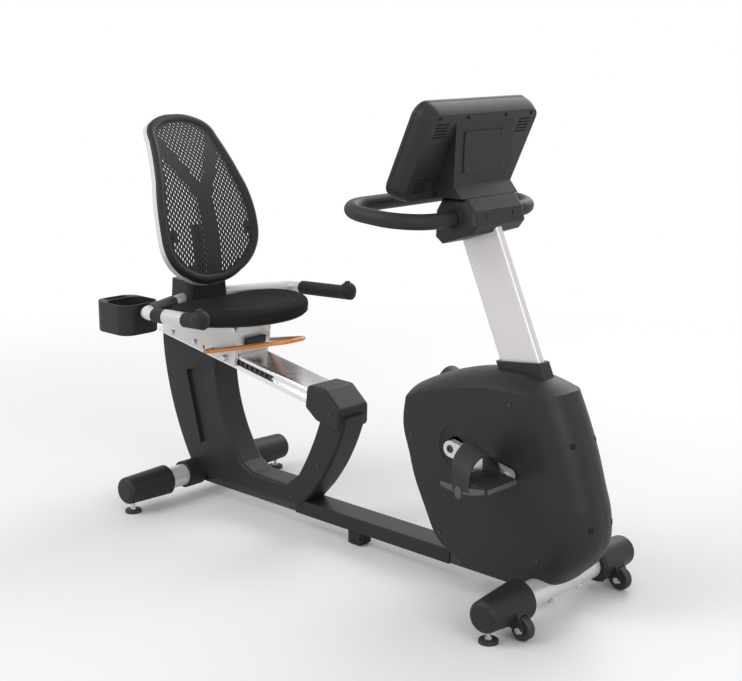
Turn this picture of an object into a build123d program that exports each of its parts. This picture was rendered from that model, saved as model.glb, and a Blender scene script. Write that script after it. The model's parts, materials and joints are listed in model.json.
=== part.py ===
from build123d import *
import math
import os

# Recumbent exercise bike. Millimetres, Z up, X towards the pedals, Y to the rider's left.
# The origin is on the floor under the middle of the bike.

os.makedirs("parts", exist_ok=True)

# Clearances
weld_gap = 0.2
slide_gap = 0.4
running_fit = 0.05
cover_wall = 3.0

# Cross tubes, end caps, feet and transport wheels
tube_radius = 31.0
tube_wall = 3.0
tube_height = 67.0
rear_tube_x = -628.0
front_tube_x = 638.0
rear_reach = 305.0
front_reach = 286.0
cap_outer_radius = 38.5
rear_cap_inner_y = 150.0
rear_cap_inner_radius = 43.0
front_cap_inner_y = 138.0
front_cap_inner_radius = 49.0
cap_end_round = 14.0
cap_flat_depth = 36.0
foot_inset = 30.0
tube_setback = 20.0
foot_pad_radius = 23.0
foot_pad_height = 9.0
stud_radius = 5.0
stud_length = 58.0
foot_nut_radius = 9.0
foot_nut_height = 6.0
wheel_radius = 28.0
wheel_width = 22.0
wheel_floor_gap = 2.0
wheel_ahead = 51.0
wheel_y = 197.0
wheel_axle_radius = 4.0
wheel_side_gap = 1.5
fork_cheek = 6.0
fork_end_radius = 15.0

# Base beam, its cover and the middle foot
beam_width = 71.4
beam_bottom = 42.0
beam_top = 76.0
beam_wall = 4.0
base_cover_wall = 2.5
base_cover_gap = 0.3
base_cover_drop = 2.0
base_cover_rear_x = -209.0
base_cover_front_x = 341.0
middle_foot_x = 9.0
middle_foot_length = 42.0
middle_foot_width = 44.0
middle_foot_y = -13.0
middle_foot_clearance = 1.0

# Seat rail, sloping down towards the pedals
rail_angle = 9.63
rail_anchor_x = -399.0
rail_anchor_z = 450.5
rail_width = 104.0
rail_height = 43.0
rail_wall = 4.0
rail_edge = 9.0
rail_rear = -370.0
rail_front = 322.0
groove_depth = 10.0
groove_height = 18.0
rack_thickness = 8.0
rack_height = 14.0
rack_pitch = 20.0
rack_slot_length = 9.0
rack_slot_height = 9.0
rack_slots = 12
rack_start = -130.0

# Rear cover around the pedestal and the strut
rear_cover_half = 42.0
rear_cover_edge = 9.0
rear_cover_bottom = 60.0
head_half = 57.0
post_half = 25.0
collar_inner_y = 44.0
collar_outer_y = 92.0
collar_wall = 8.0

# Drive cover
drive_half = 83.0
drive_bottom = 72.0
front_round = 75.0
rear_round = 14.0
crank_disc_radius = 52.0
crank_disc_depth = 1.5
crank_hole_radius = 25.0

# Mast, leaning back towards the rider
mast_angle = 23.74
mast_foot_x = 521.0
mast_foot_z = 586.0
mast_depth = 110.0
mast_thickness = 25.4
mast_wall = 2.5
mast_corner = 7.0
mast_below = 150.0
mast_above = 312.0
collar_margin = 9.0
collar_top = 584.0
collar_slope = 6.3

# Crank, pedals and drive
crank_x = 394.0
crank_z = 366.0
crank_length = 170.0
crank_drop = 10.5
axle_radius = 10.0
axle_half = 104.0
arm_inner_y = 88.0
arm_thickness = 18.0
arm_boss_radius = 20.0
arm_eye_radius = 15.0
bearing_outer_radius = 20.0
bearing_width = 12.0
shell_half = 35.0
shell_wall = 6.0
pulley_radius = 110.0
pulley_inner_y = 44.0
pulley_width = 16.0
pulley_rim = 10.0
pulley_hub_radius = 26.0
belt_thickness = 3.5
belt_width = 13.0
belt_gap = 0.3
flywheel_x = 624.0
flywheel_z = 225.0
flywheel_radius = 110.0
flywheel_width = 40.0
flywheel_axle_radius = 8.0
small_pulley_radius = 24.0
spindle_radius = 6.0
spindle_thread_radius = 7.0
spindle_collar_radius = 10.0
spindle_collar_depth = 4.0
pedal_inner_y = 114.0
pedal_width = 108.0
pedal_length = 140.0
pedal_height = 28.0
pedal_tilt = 3.0
pedal_back = 32.0
pedal_below = 5.0
pedal_tip_high = 7.0
pedal_tip_low = -4.0
pedal_round = 3.0
pedal_end_wall = 2.0
strap_width = 50.0
strap_thickness = 3.0
strap_rise_front = 59.0
strap_rise_rear = 84.0
strap_shoulder = 20.0
strap_foot = 12.0
strap_offset = -36.0

# Seat, carriage, handles and release lever
carriage_half = 62.0
carriage_rear_x = -735.0
carriage_front_x = -400.0
carriage_heel_x = -425.0
seat_bottom = 555.0
pan_thickness = 5.0
pad_side_top = 590.0
pad_crown_top = 598.0
seat_half = 225.0
seat_rear_x = -580.0
seat_front_x = -283.0
seat_shoulder_x = -460.0
seat_corner = 110.0
lever_radius = 6.0
lever_x = -512.0
lever_z = 455.5
lever_reach = 276.0
lever_rise = 60.5
lever_half_rear = 104.0
lever_half_front = 35.0
lever_bend = 30.0
lever_foot_bend = 15.0
pawl_radius = 3.5
pawl_knob_radius = 9.0
handle_radius = 16.0
handle_wall = 2.0
handle_y = 275.0
handle_tip_x = -300.0
handle_tip_z = 598.0
handle_bend_x = -548.0
handle_bend_z = 587.0
handle_root_x = -634.0
handle_root_y = 60.0
handle_root_z = 588.0
handle_bend_radius = 42.0
grip_radius = 20.0
grip_length = 205.0
grip_head_radius = 25.0
button_radius = 8.0
button_rise = 3.0
plate_length = 80.0
plate_thickness = 1.4
cup_x = -667.0
cup_y = -238.0
cup_length = 146.0
cup_corner = 40.0
cup_width = 130.0
cup_top = 602.0
cup_height = 86.0
cup_wall = 4.0

# Back rest
back_angle = 20.5
back_bottom_x = -568.0
back_bottom_z = 632.0
back_height = 499.0
back_half_widest = 176.0
back_half_top = 120.0
back_thickness = 6.0
back_border = 22.0
back_rim_depth = 18.0
back_rim_width = 20.0
back_bow = 50.0
back_margin = 8.0
net_pitch = 16.0
net_row = 13.5
net_hole_width = 9.5
net_hole_height = 12.5
band_half_stem = 22.0
band_half_arm = 19.0
band_fork = 225.0
band_reach = 118.0
band_top = 440.0
post_front_x = -597.0
post_depth = 90.0
post_half_bottom = 75.0
post_half_top = 68.0
post_top = 640.0
post_corner = 14.0

# Console, clamp housing and handlebar
bar_radius = 18.5
bar_x = 388.0
bar_z = 915.0
bar_half = 248.0
bar_reach = 236.0
bar_tilt = 4.3
bar_corner = 100.0
housing_half = 100.0
housing_top = 962.0
housing_round = 16.0
console_x = 262.3
console_z = 968.0
console_tilt = 25.0
console_height = 242.0
console_width = 412.0
console_corner = 36.0
bezel_depth = 14.0
bezel_round = 5.0
console_depth = 55.0
console_shrink = 12.0
screen_margin = 26.0
screen_thickness = 4.0
box_half = 105.0
panel_width = 150.0
panel_height = 96.0
panel_thickness = 2.5
panel_corner = 8.0

# Fasteners
bolt_radius = 7.5
bolt_head = 6.0
bolt_shank_radius = 4.0
screw_radius = 5.0
screw_head = 1.5
tube_bolt_y = 57.6
tube_bolt_angle = 43.0

foot_rear_y = rear_reach - foot_inset
foot_front_y = front_reach - foot_inset
wheel_x = front_tube_x + wheel_ahead
wheel_z = wheel_radius + wheel_floor_gap
rail_slope = math.tan(math.radians(rail_angle))
rail_drop = rail_height / math.cos(math.radians(rail_angle))
seat_top_of_pan = seat_bottom + pan_thickness


def rail_top_at(x):
    """Height of the rail's top face at a place along the bike."""
    return rail_anchor_z - rail_slope * (x - rail_anchor_x)


def rail_under_at(x):
    """Height of the rail's lower face at a place along the bike."""
    return rail_top_at(x) - rail_drop


def save(builder, name):
    """Labels a finished piece and writes it."""
    builder.part.label = name
    export_step(builder.part, f"parts/{name}.step")


def cross_plane(x):
    """A plane across the bike, where sketch points are (y, z)."""
    return Plane.YZ.offset(x)


side_plane = Plane(origin=(0, 0, 0), x_dir=(1, 0, 0), z_dir=(0, -1, 0))
rail_dir = Vector(math.cos(math.radians(rail_angle)), 0, -math.sin(math.radians(rail_angle)))
rail_up = Vector(math.sin(math.radians(rail_angle)), 0, math.cos(math.radians(rail_angle)))
rail_anchor = Vector(rail_anchor_x, 0, rail_anchor_z)
rail_plane = Plane(origin=rail_anchor + rail_dir * rail_rear, x_dir=(0, 1, 0), z_dir=rail_dir)
mast_dir = Vector(-math.sin(math.radians(mast_angle)), 0, math.cos(math.radians(mast_angle)))
mast_foot = Vector(mast_foot_x, 0, mast_foot_z)



def tube_bolt_plane(sign):
    """Where a bolt head seats on the front tube, facing forward and down."""
    turn = math.radians(tube_bolt_angle)
    facing = Vector(math.cos(turn), 0, -math.sin(turn))
    seat = Vector(front_tube_x, sign * tube_bolt_y, tube_height) + facing * tube_radius
    return Plane(origin=seat, x_dir=(0, 1, 0), z_dir=facing)


# Cross tubes: a round silver tube across each end of the bike
with BuildPart() as cross_tubes:
    for tube_x, foot_y in ((rear_tube_x, foot_rear_y), (front_tube_x, foot_front_y)):
        half = foot_y - tube_setback
        with BuildSketch(Plane(origin=(tube_x, -half, tube_height), x_dir=(1, 0, 0), z_dir=(0, 1, 0))):
            Circle(tube_radius)
            Circle(tube_radius - tube_wall, mode=Mode.SUBTRACT)
        extrude(amount=2 * half)
    for sign in (-1, 1):
        with BuildSketch(tube_bolt_plane(sign)):
            Circle(bolt_shank_radius + weld_gap)
        extrude(amount=-3 * tube_wall, mode=Mode.SUBTRACT)
save(cross_tubes, "cross_tubes")


def cap_profile(tube_x, inner_y, reach, inner_radius):
    """Turns one tapering end cap about the tube's axis, flat underneath and bored for the tube."""
    axis = Axis((tube_x, 0, tube_height), (0, 1, 0))
    with BuildSketch(cross_plane(tube_x)) as profile:
        with BuildLine():
            Polyline(
                (inner_y, tube_height),
                (inner_y, tube_height + inner_radius - cap_end_round / 2),
                (inner_y + cap_end_round / 2, tube_height + inner_radius),
                (reach - cap_end_round, tube_height + cap_outer_radius),
            )
            RadiusArc(
                (reach - cap_end_round, tube_height + cap_outer_radius),
                (reach, tube_height + cap_outer_radius - cap_end_round),
                cap_end_round,
            )
            Polyline(
                (reach, tube_height + cap_outer_radius - cap_end_round),
                (reach, tube_height),
                (inner_y, tube_height),
            )
        make_face()
    revolve(profile.sketch, axis=axis)


def cap_openings(tube_x, inner_y, foot_y):
    """Cuts the flat underside, the tube's bore and the foot's hole from a cap."""
    with Locations((tube_x, inner_y, tube_height - cap_flat_depth)):
        Box(
            4 * tube_radius,
            4 * (foot_y - inner_y),
            2 * tube_radius,
            align=(Align.CENTER, Align.CENTER, Align.MAX),
            mode=Mode.SUBTRACT,
        )
    with Locations(Location((tube_x, inner_y, tube_height), (-90, 0, 0))):
        Cylinder(
            tube_radius + weld_gap,
            foot_y - tube_setback - inner_y + weld_gap,
            align=(Align.CENTER, Align.CENTER, Align.MIN),
            mode=Mode.SUBTRACT,
        )
    with Locations((tube_x, foot_y, 0)):
        Cylinder(
            stud_radius + running_fit,
            foot_pad_height + stud_length + 1,
            align=(Align.CENTER, Align.CENTER, Align.MIN),
            mode=Mode.SUBTRACT,
        )


# Rear end caps, one over each end of the rear tube
with BuildPart() as rear_caps:
    cap_profile(rear_tube_x, rear_cap_inner_y, rear_reach, rear_cap_inner_radius)
    cap_openings(rear_tube_x, rear_cap_inner_y, foot_rear_y)
    mirror(about=Plane.XZ)
save(rear_caps, "rear_caps")

# Front end caps, each with a fork for a transport wheel
with BuildPart() as front_caps:
    cap_profile(front_tube_x, front_cap_inner_y, front_reach, front_cap_inner_radius)
    fork_half = wheel_width / 2 + wheel_side_gap + fork_cheek
    with BuildSketch(side_plane.offset(-wheel_y)):
        with Locations((front_tube_x, tube_height)):
            Circle(cap_outer_radius)
        with Locations((wheel_x, wheel_z)):
            Circle(fork_end_radius)
        make_hull()
    extrude(amount=fork_half, both=True)
    cap_openings(front_tube_x, front_cap_inner_y, foot_front_y)
    with Locations(Location((wheel_x, wheel_y, wheel_z), (90, 0, 0))):
        Cylinder(
            wheel_radius + wheel_side_gap,
            wheel_width + 2 * wheel_side_gap,
            mode=Mode.SUBTRACT,
        )
        Cylinder(
            wheel_axle_radius + weld_gap,
            4 * fork_half,
            mode=Mode.SUBTRACT,
        )
    mirror(about=Plane.XZ)
save(front_caps, "front_caps")

# Levelling feet: a rubber pad on a threaded stud with a lock nut
for end, foot_x, foot_y in (("front", front_tube_x, foot_front_y), ("rear", rear_tube_x, foot_rear_y)):
    for side, sign in (("right", -1), ("left", 1)):
        with BuildPart() as leveller:
            with Locations((foot_x, sign * foot_y, 0)):
                Cylinder(foot_pad_radius, foot_pad_height, align=(Align.CENTER, Align.CENTER, Align.MIN))
            fillet(leveller.edges().group_by(Axis.Z)[-1], foot_pad_height / 3)
            with BuildSketch(Plane.XY.offset(foot_pad_height)):
                with Locations((foot_x, sign * foot_y)):
                    RegularPolygon(foot_nut_radius, 6)
            extrude(amount=foot_nut_height)
            with Locations((foot_x, sign * foot_y, foot_pad_height)):
                Cylinder(stud_radius, stud_length, align=(Align.CENTER, Align.CENTER, Align.MIN))
        save(leveller, f"leveller_{end}_{side}")

# Transport wheels, with a shallow groove round the tread
for side, sign in (("right", -1), ("left", 1)):
    with BuildPart() as wheel:
        with BuildSketch(cross_plane(wheel_x)):
            with BuildLine():
                Polyline(
                    (sign * wheel_y - wheel_width / 2, wheel_z + wheel_axle_radius + running_fit),
                    (sign * wheel_y - wheel_width / 2, wheel_z + wheel_radius - 3),
                    (sign * wheel_y - wheel_width / 2 + 4, wheel_z + wheel_radius),
                    (sign * wheel_y - 2, wheel_z + wheel_radius),
                    (sign * wheel_y, wheel_z + wheel_radius - 2),
                    (sign * wheel_y + 2, wheel_z + wheel_radius),
                    (sign * wheel_y + wheel_width / 2 - 4, wheel_z + wheel_radius),
                    (sign * wheel_y + wheel_width / 2, wheel_z + wheel_radius - 3),
                    (sign * wheel_y + wheel_width / 2, wheel_z + wheel_axle_radius + running_fit),
                    close=True,
                )
            make_face()
        revolve(axis=Axis((wheel_x, 0, wheel_z), (0, 1, 0)))
    save(wheel, f"transport_wheel_{side}")

# Base frame: the floor beam, the pedestal post and the bent strut that carry the rail
post_foot = (-604.0, -520.0)
post_head = (-706.0, -606.0)
strut_rear = ((-252, beam_top), (-252, 88), (-184, 140), (-139, 200), (-100, 280))
strut_front = ((-60, 280), (-99, 200), (-140, 140), (-214, beam_top))
strut_head = (-80.0, -42.0)
with BuildPart() as base_frame:
    with BuildSketch(cross_plane(rear_tube_x)):
        with Locations((0, (beam_bottom + beam_top) / 2)):
            Rectangle(beam_width, beam_top - beam_bottom)
            Rectangle(
                beam_width - 2 * beam_wall,
                beam_top - beam_bottom - 2 * beam_wall,
                mode=Mode.SUBTRACT,
            )
    extrude(amount=front_tube_x - rear_tube_x)
    with BuildSketch(side_plane):
        with BuildLine():
            Polyline(
                (post_foot[0], beam_top),
                (post_foot[1], beam_top),
                (post_head[1], rail_under_at(post_head[1])),
                (post_head[0], rail_under_at(post_head[0])),
                close=True,
            )
        make_face()
        with BuildLine():
            Polyline(
                *strut_rear,
                (strut_head[0], rail_under_at(strut_head[0])),
                (strut_head[1], rail_under_at(strut_head[1])),
                *strut_front,
                close=True,
            )
        make_face()
    extrude(amount=post_half, both=True)
    for tube_x in (rear_tube_x, front_tube_x):
        with Locations(Location((tube_x, 0, tube_height), (90, 0, 0))):
            Cylinder(tube_radius + weld_gap, 2 * beam_width, mode=Mode.SUBTRACT)
save(base_frame, "base_frame")

# Base cover: a channel over the beam between the two large covers
base_cover_half = beam_width / 2 + base_cover_gap + base_cover_wall
with BuildPart() as base_cover:
    with BuildSketch(cross_plane(base_cover_rear_x)):
        with Locations((0, beam_top + base_cover_wall)):
            Rectangle(
                2 * base_cover_half,
                beam_top - beam_bottom + base_cover_wall + base_cover_drop,
                align=(Align.CENTER, Align.MAX),
            )
        with Locations((0, beam_top)):
            Rectangle(
                beam_width + 2 * base_cover_gap,
                2 * (beam_top - beam_bottom),
                align=(Align.CENTER, Align.MAX),
                mode=Mode.SUBTRACT,
            )
    extrude(amount=base_cover_front_x - base_cover_rear_x)
    fillet(base_cover.edges().filter_by(Axis.X).group_by(Axis.Z)[-1], 2)
save(base_cover, "base_cover")

# Middle foot under the beam
with BuildPart() as middle_foot:
    with Locations((middle_foot_x, middle_foot_y, middle_foot_clearance)):
        Box(
            middle_foot_length,
            middle_foot_width,
            beam_bottom - middle_foot_clearance,
            align=(Align.CENTER, Align.CENTER, Align.MIN),
        )
    chamfer(middle_foot.edges().group_by(Axis.Z)[0], 4)
save(middle_foot, "middle_foot")

# Seat rail: an extrusion with rounded shoulders and a groove along each side
with BuildPart() as seat_rail:
    with BuildSketch(rail_plane) as rail_section:
        with Locations((0, -rail_height / 2)):
            Rectangle(rail_width, rail_height)
        fillet(rail_section.vertices().group_by(Axis.Y)[-1], rail_edge)
        for sign in (-1, 1):
            with Locations((sign * rail_width / 2, -rail_height / 2)):
                Rectangle(2 * groove_depth, groove_height, mode=Mode.SUBTRACT)
        with Locations((0, -rail_height / 2)):
            Rectangle(
                rail_width - 2 * groove_depth - 2 * rail_wall,
                rail_height - 2 * rail_wall,
                mode=Mode.SUBTRACT,
            )
    extrude(amount=rail_front - rail_rear)
save(seat_rail, "seat_rail")

# Rail rack: a slotted bar in the groove on the rider's right
rack_floor_y = -(rail_width / 2 - groove_depth)
rack_plane = Plane(origin=rail_anchor + rail_up * (-rail_height / 2), x_dir=rail_dir, z_dir=(0, -1, 0))
rack_length = rack_slots * rack_pitch
with BuildPart() as rail_rack:
    with BuildSketch(rack_plane.offset(-rack_floor_y)):
        with Locations((rack_start + rack_length / 2, 0)):
            Rectangle(rack_length, rack_height)
            with GridLocations(rack_pitch, 1, rack_slots, 1):
                Rectangle(rack_slot_length, rack_slot_height, mode=Mode.SUBTRACT)
    extrude(amount=rack_thickness)
save(rail_rack, "rail_rack")

# Rear cover: two halves round the pedestal, the strut and the rail's front end
pedestal_rear = ((-657.0, 97.0), (-727.0, 245.0), (-768.0, 440.0))
pedestal_head = (pedestal_rear[-1][0], rail_under_at(pedestal_rear[-1][0]))
opening_rear = ((-528.0, rail_under_at(-528.0)), (-505.0, 273.0), (-428.0, 134.0))
opening_floor = ((-384.0, 114.0), (-246.0, 112.0))
opening_front = ((-197.0, 152.0), (-151.0, 232.0), (-108.0, 334.0))
strut_outer = ((-14.0, 345.0), (-50.0, 250.0), (-132.0, 123.0))
strut_toe = (-190.0, rear_cover_bottom)
pedestal_heel = (-640.0, rear_cover_bottom)
head_outline = (
    (-112.0, 324.0),
    (-153.0, 354.0),
    (-145.0, 417.0),
    (-78.0, 416.0),
    (-22.0, 368.0),
    (-24.0, 305.0),
)
head_corner = 14.0
head_edge_round = 10.0
pocket_outline = ((-660, 368), (-590, 390), (-532, 190), (-604, 158))
pocket_depth = 10.0

with BuildSketch(side_plane) as loop_outline:
    with BuildLine():
        ThreePointArc(*pedestal_rear)
        Polyline(pedestal_rear[-1], pedestal_head, opening_rear[0])
        ThreePointArc(*opening_rear)
        Polyline(opening_rear[-1], *opening_floor, opening_front[0])
        ThreePointArc(*opening_front)
        Line(opening_front[-1], strut_outer[0])
        ThreePointArc(*strut_outer)
        Polyline(strut_outer[-1], strut_toe, pedestal_heel, pedestal_rear[0])
    make_face()
with BuildSketch(side_plane) as head_face:
    with BuildLine():
        Polyline(*head_outline, close=True)
    make_face()
    fillet(head_face.vertices(), head_corner)

with BuildSketch(rail_plane) as rail_envelope:
    with Locations((0, slide_gap)):
        Rectangle(
            rail_width + 2 * slide_gap,
            rail_height + slide_gap,
            align=(Align.CENTER, Align.MAX),
        )

with BuildPart() as rear_shell:
    extrude(loop_outline.sketch, amount=rear_cover_half, both=True)
    fillet(rear_shell.faces().filter_by(Axis.Y).edges(), rear_cover_edge)
    extrude(
        offset(loop_outline.sketch, -cover_wall, mode=Mode.PRIVATE),
        amount=rear_cover_half - cover_wall,
        both=True,
        mode=Mode.SUBTRACT,
    )
    for sign in (-1, 1):
        pocket_floor = rear_cover_half - pocket_depth
        lining_y = sign * (pocket_floor - cover_wall)
        with BuildSketch(Plane(origin=(0, lining_y, 0), x_dir=(1, 0, 0), z_dir=(0, -1, 0))):
            with BuildLine():
                Polyline(*pocket_outline, close=True)
            make_face()
            offset(amount=cover_wall, kind=Kind.INTERSECTION)
        extrude(amount=-sign * (pocket_depth + cover_wall / 2))
        with BuildSketch(Plane(origin=(0, sign * pocket_floor, 0), x_dir=(1, 0, 0), z_dir=(0, -1, 0))):
            with BuildLine():
                Polyline(*pocket_outline, close=True)
            make_face()
        extrude(amount=-sign * 2 * pocket_depth, mode=Mode.SUBTRACT)
    for tube_y in (-collar_outer_y, collar_inner_y - 2 * cover_wall):
        with Locations(Location((rear_tube_x, tube_y, tube_height), (-90, 0, 0))):
            Cylinder(
                tube_radius + collar_wall,
                collar_outer_y - collar_inner_y + 2 * cover_wall,
                align=(Align.CENTER, Align.CENTER, Align.MIN),
            )

with BuildPart() as head_shell:
    extrude(head_face.sketch, amount=head_half, both=True)
    fillet(head_shell.faces().filter_by(Axis.Y).edges(), head_edge_round)
    extrude(
        offset(head_face.sketch, -cover_wall, mode=Mode.PRIVATE),
        amount=head_half - cover_wall,
        both=True,
        mode=Mode.SUBTRACT,
    )

with BuildPart() as rear_cover:
    add(rear_shell.part)
    extrude(
        head_face.sketch,
        amount=rear_cover_half,
        both=True,
        mode=Mode.SUBTRACT,
    )
    add(head_shell.part)
    extrude(
        offset(loop_outline.sketch, -cover_wall, mode=Mode.PRIVATE),
        amount=post_half + cover_wall,
        both=True,
        mode=Mode.SUBTRACT,
    )
    extrude(rail_envelope.sketch, amount=rail_front - rail_rear + slide_gap, mode=Mode.SUBTRACT)
    with Locations(Location((rear_tube_x, 0, tube_height), (90, 0, 0))):
        Cylinder(tube_radius + weld_gap, 4 * collar_outer_y, mode=Mode.SUBTRACT)
    with Locations((0, 0, beam_top + weld_gap)):
        Box(
            4 * front_tube_x,
            beam_width + 2 * weld_gap,
            2 * beam_top,
            align=(Align.CENTER, Align.CENTER, Align.MAX),
            mode=Mode.SUBTRACT,
        )
    with Locations((base_cover_rear_x - weld_gap, 0, beam_top + base_cover_wall + weld_gap)):
        Box(
            2 * front_tube_x,
            2 * base_cover_half + 2 * weld_gap,
            2 * beam_top,
            align=(Align.MIN, Align.CENTER, Align.MAX),
            mode=Mode.SUBTRACT,
        )
    add(base_frame.part, mode=Mode.SUBTRACT)

for side, keep in (("right", Keep.BOTTOM), ("left", Keep.TOP)):
    with BuildPart() as rear_half:
        add(rear_cover.part)
        split(bisect_by=Plane(origin=(0, 0, 0), z_dir=(0, 1, 0)), keep=keep)
    save(rear_half, f"rear_cover_{side}")

# Drive cover: rounded level sections from the floor beam up to the mast
drive_levels = (
    (drive_bottom, 404.0, 656.0),
    (100.0, 358.0, 700.0),
    (130.0, 322.0, 731.0),
    (165.0, 302.0, 756.0),
    (205.0, 282.0, 766.0),
    (250.0, 260.0, 764.0),
    (300.0, 243.0, 751.0),
    (350.0, 227.0, 736.0),
    (400.0, 217.0, 720.0),
    (450.0, 223.0, 701.0),
    (500.0, 228.0, 679.0),
    (550.0, 231.0, 655.0),
    (600.0, 233.0, 629.0),
)


def drive_body(inset):
    """Lofts the drive cover's body, drawn in by an inset on every wall."""
    faces = []
    for level, rear_x, front_x in drive_levels:
        half = drive_half - inset
        back = rear_x + inset
        front = front_x - inset
        nose = front_round - inset
        heel = rear_round - inset
        with BuildSketch(Plane.XY.offset(level + (inset if level == drive_bottom else 0))) as section:
            with BuildLine():
                Line((back, -half + heel), (back, half - heel))
                RadiusArc((back, half - heel), (back + heel, half), heel)
                Line((back + heel, half), (front - nose, half))
                RadiusArc((front - nose, half), (front, half - nose), nose)
                Line((front, half - nose), (front, -half + nose))
                RadiusArc((front, -half + nose), (front - nose, -half), nose)
                Line((front - nose, -half), (back + heel, -half))
                RadiusArc((back + heel, -half), (back, -half + heel), heel)
            make_face()
        faces.append(section.sketch)
    return loft(sections=[face.faces()[0] for face in faces], mode=Mode.PRIVATE)


drive_outer = drive_body(0)
drive_inner = drive_body(cover_wall)
seam_points = ((195, 438), (308, 489), (428, 514), (510, 523), (600, 516), (660, 511), (790, 512))
seam_ceiling = 700.0
with BuildSketch(side_plane) as above_seam:
    with BuildLine():
        Spline(*seam_points)
        Polyline(
            seam_points[-1],
            (seam_points[-1][0], seam_ceiling),
            (seam_points[0][0], seam_ceiling),
            seam_points[0],
        )
    make_face()

with BuildPart() as drive_shell:
    add(drive_outer)
    add(drive_inner, mode=Mode.SUBTRACT)
    extrude(above_seam.sketch, amount=2 * drive_half, both=True, mode=Mode.SUBTRACT)
    for sign in (-1, 1):
        with Locations(Location((crank_x, sign * drive_half, crank_z), (90, 0, 0))):
            Cylinder(crank_disc_radius, 2 * crank_disc_depth, mode=Mode.SUBTRACT)
            Cylinder(crank_hole_radius, 4 * cover_wall, mode=Mode.SUBTRACT)
    with Locations(Location((front_tube_x, 0, tube_height), (90, 0, 0))):
        Cylinder(tube_radius + weld_gap, 4 * drive_half, mode=Mode.SUBTRACT)
    with Locations((front_tube_x, 0, tube_height)):
        Box(
            2 * tube_radius + 2 * weld_gap,
            4 * drive_half,
            2 * tube_height,
            align=(Align.CENTER, Align.CENTER, Align.MAX),
            mode=Mode.SUBTRACT,
        )
    with Locations((0, 0, beam_top + base_cover_wall + weld_gap)):
        Box(
            4 * front_tube_x,
            2 * base_cover_half + 2 * weld_gap,
            2 * beam_top,
            align=(Align.CENTER, Align.CENTER, Align.MAX),
            mode=Mode.SUBTRACT,
        )

for side, keep in (("right", Keep.BOTTOM), ("left", Keep.TOP)):
    with BuildPart() as drive_half_shell:
        add(drive_shell.part)
        split(bisect_by=Plane(origin=(0, 0, 0), z_dir=(0, 1, 0)), keep=keep)
    save(drive_half_shell, f"drive_cover_{side}")

# Top cover and mast collar: a dome over the seam, cut to the drive cover's plan
dome_rows = (
    (205.0, 474.0, 36.0),
    (260.0, 503.0, 38.0),
    (315.0, 526.0, 39.0),
    (370.0, 544.0, 41.0),
    (425.0, 557.0, 42.0),
    (480.0, 565.0, 42.0),
    (535.0, 567.0, 41.0),
    (590.0, 560.0, 36.0),
    (645.0, 542.0, 27.0),
    (700.0, 514.0, 16.0),
)
dome_shoulder = 3.0
dome_floor = 400.0
dome_split_x = 456.0


def dome_body(inset):
    """Lofts the domed top between bow shaped sections across the bike."""
    faces = []
    for x, ridge, rise in dome_rows:
        half = drive_half + dome_shoulder - inset
        with BuildSketch(cross_plane(x)) as bow:
            with BuildLine():
                Line((-half, dome_floor), (half, dome_floor))
                Line((half, dome_floor), (half, ridge - rise))
                ThreePointArc((half, ridge - rise), (0, ridge - inset), (-half, ridge - rise))
                Line((-half, ridge - rise), (-half, dome_floor))
            make_face()
        faces.append(bow.sketch.faces()[0])
    return loft(sections=faces, mode=Mode.PRIVATE)


mast_section_plane = Plane(
    origin=mast_foot - mast_dir * mast_below, x_dir=(0, 1, 0), z_dir=mast_dir
)
with BuildSketch(mast_section_plane) as mast_hole:
    RectangleRounded(mast_thickness + 2 * weld_gap, mast_depth + 2 * weld_gap, mast_corner)
with BuildSketch(mast_section_plane) as collar_section:
    RectangleRounded(
        mast_thickness + 2 * collar_margin,
        mast_depth + 2 * collar_margin,
        mast_corner + collar_margin / 2,
    )

with BuildPart() as dome_shell:
    add(dome_body(0))
    add(drive_outer, mode=Mode.INTERSECT)
    extrude(above_seam.sketch, amount=2 * drive_half, both=True, mode=Mode.INTERSECT)

with BuildPart() as dome_hollow:
    add(dome_body(cover_wall))
    add(drive_inner, mode=Mode.INTERSECT)

with BuildPart() as top_cover:
    add(dome_shell.part)
    add(dome_hollow.part, mode=Mode.SUBTRACT)
    split(bisect_by=Plane(origin=(dome_split_x, 0, 0), z_dir=(1, 0, 0)), keep=Keep.BOTTOM)
save(top_cover, "top_cover")

collar_turn = math.radians(collar_slope)
collar_plane = Plane(
    origin=(mast_foot_x, 0, collar_top),
    x_dir=(0, 1, 0),
    z_dir=(-math.sin(collar_turn), 0, math.cos(collar_turn)),
)
with BuildPart() as mast_collar:
    add(dome_shell.part)
    split(bisect_by=Plane(origin=(dome_split_x, 0, 0), z_dir=(1, 0, 0)), keep=Keep.TOP)
    extrude(collar_section.sketch, amount=mast_below + collar_top - drive_bottom)
    split(bisect_by=collar_plane, keep=Keep.BOTTOM)
    add(dome_hollow.part, mode=Mode.SUBTRACT)
    extrude(mast_hole.sketch, amount=2 * mast_above, mode=Mode.SUBTRACT)
save(mast_collar, "mast_collar")

# Mast: a flat tube that leans back towards the rider
with BuildPart() as mast:
    with BuildSketch(mast_section_plane):
        RectangleRounded(mast_thickness, mast_depth, mast_corner)
        RectangleRounded(
            mast_thickness - 2 * mast_wall,
            mast_depth - 2 * mast_wall,
            mast_corner - mast_wall,
            mode=Mode.SUBTRACT,
        )
    extrude(amount=mast_below + mast_above)
save(mast, "mast")

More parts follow.
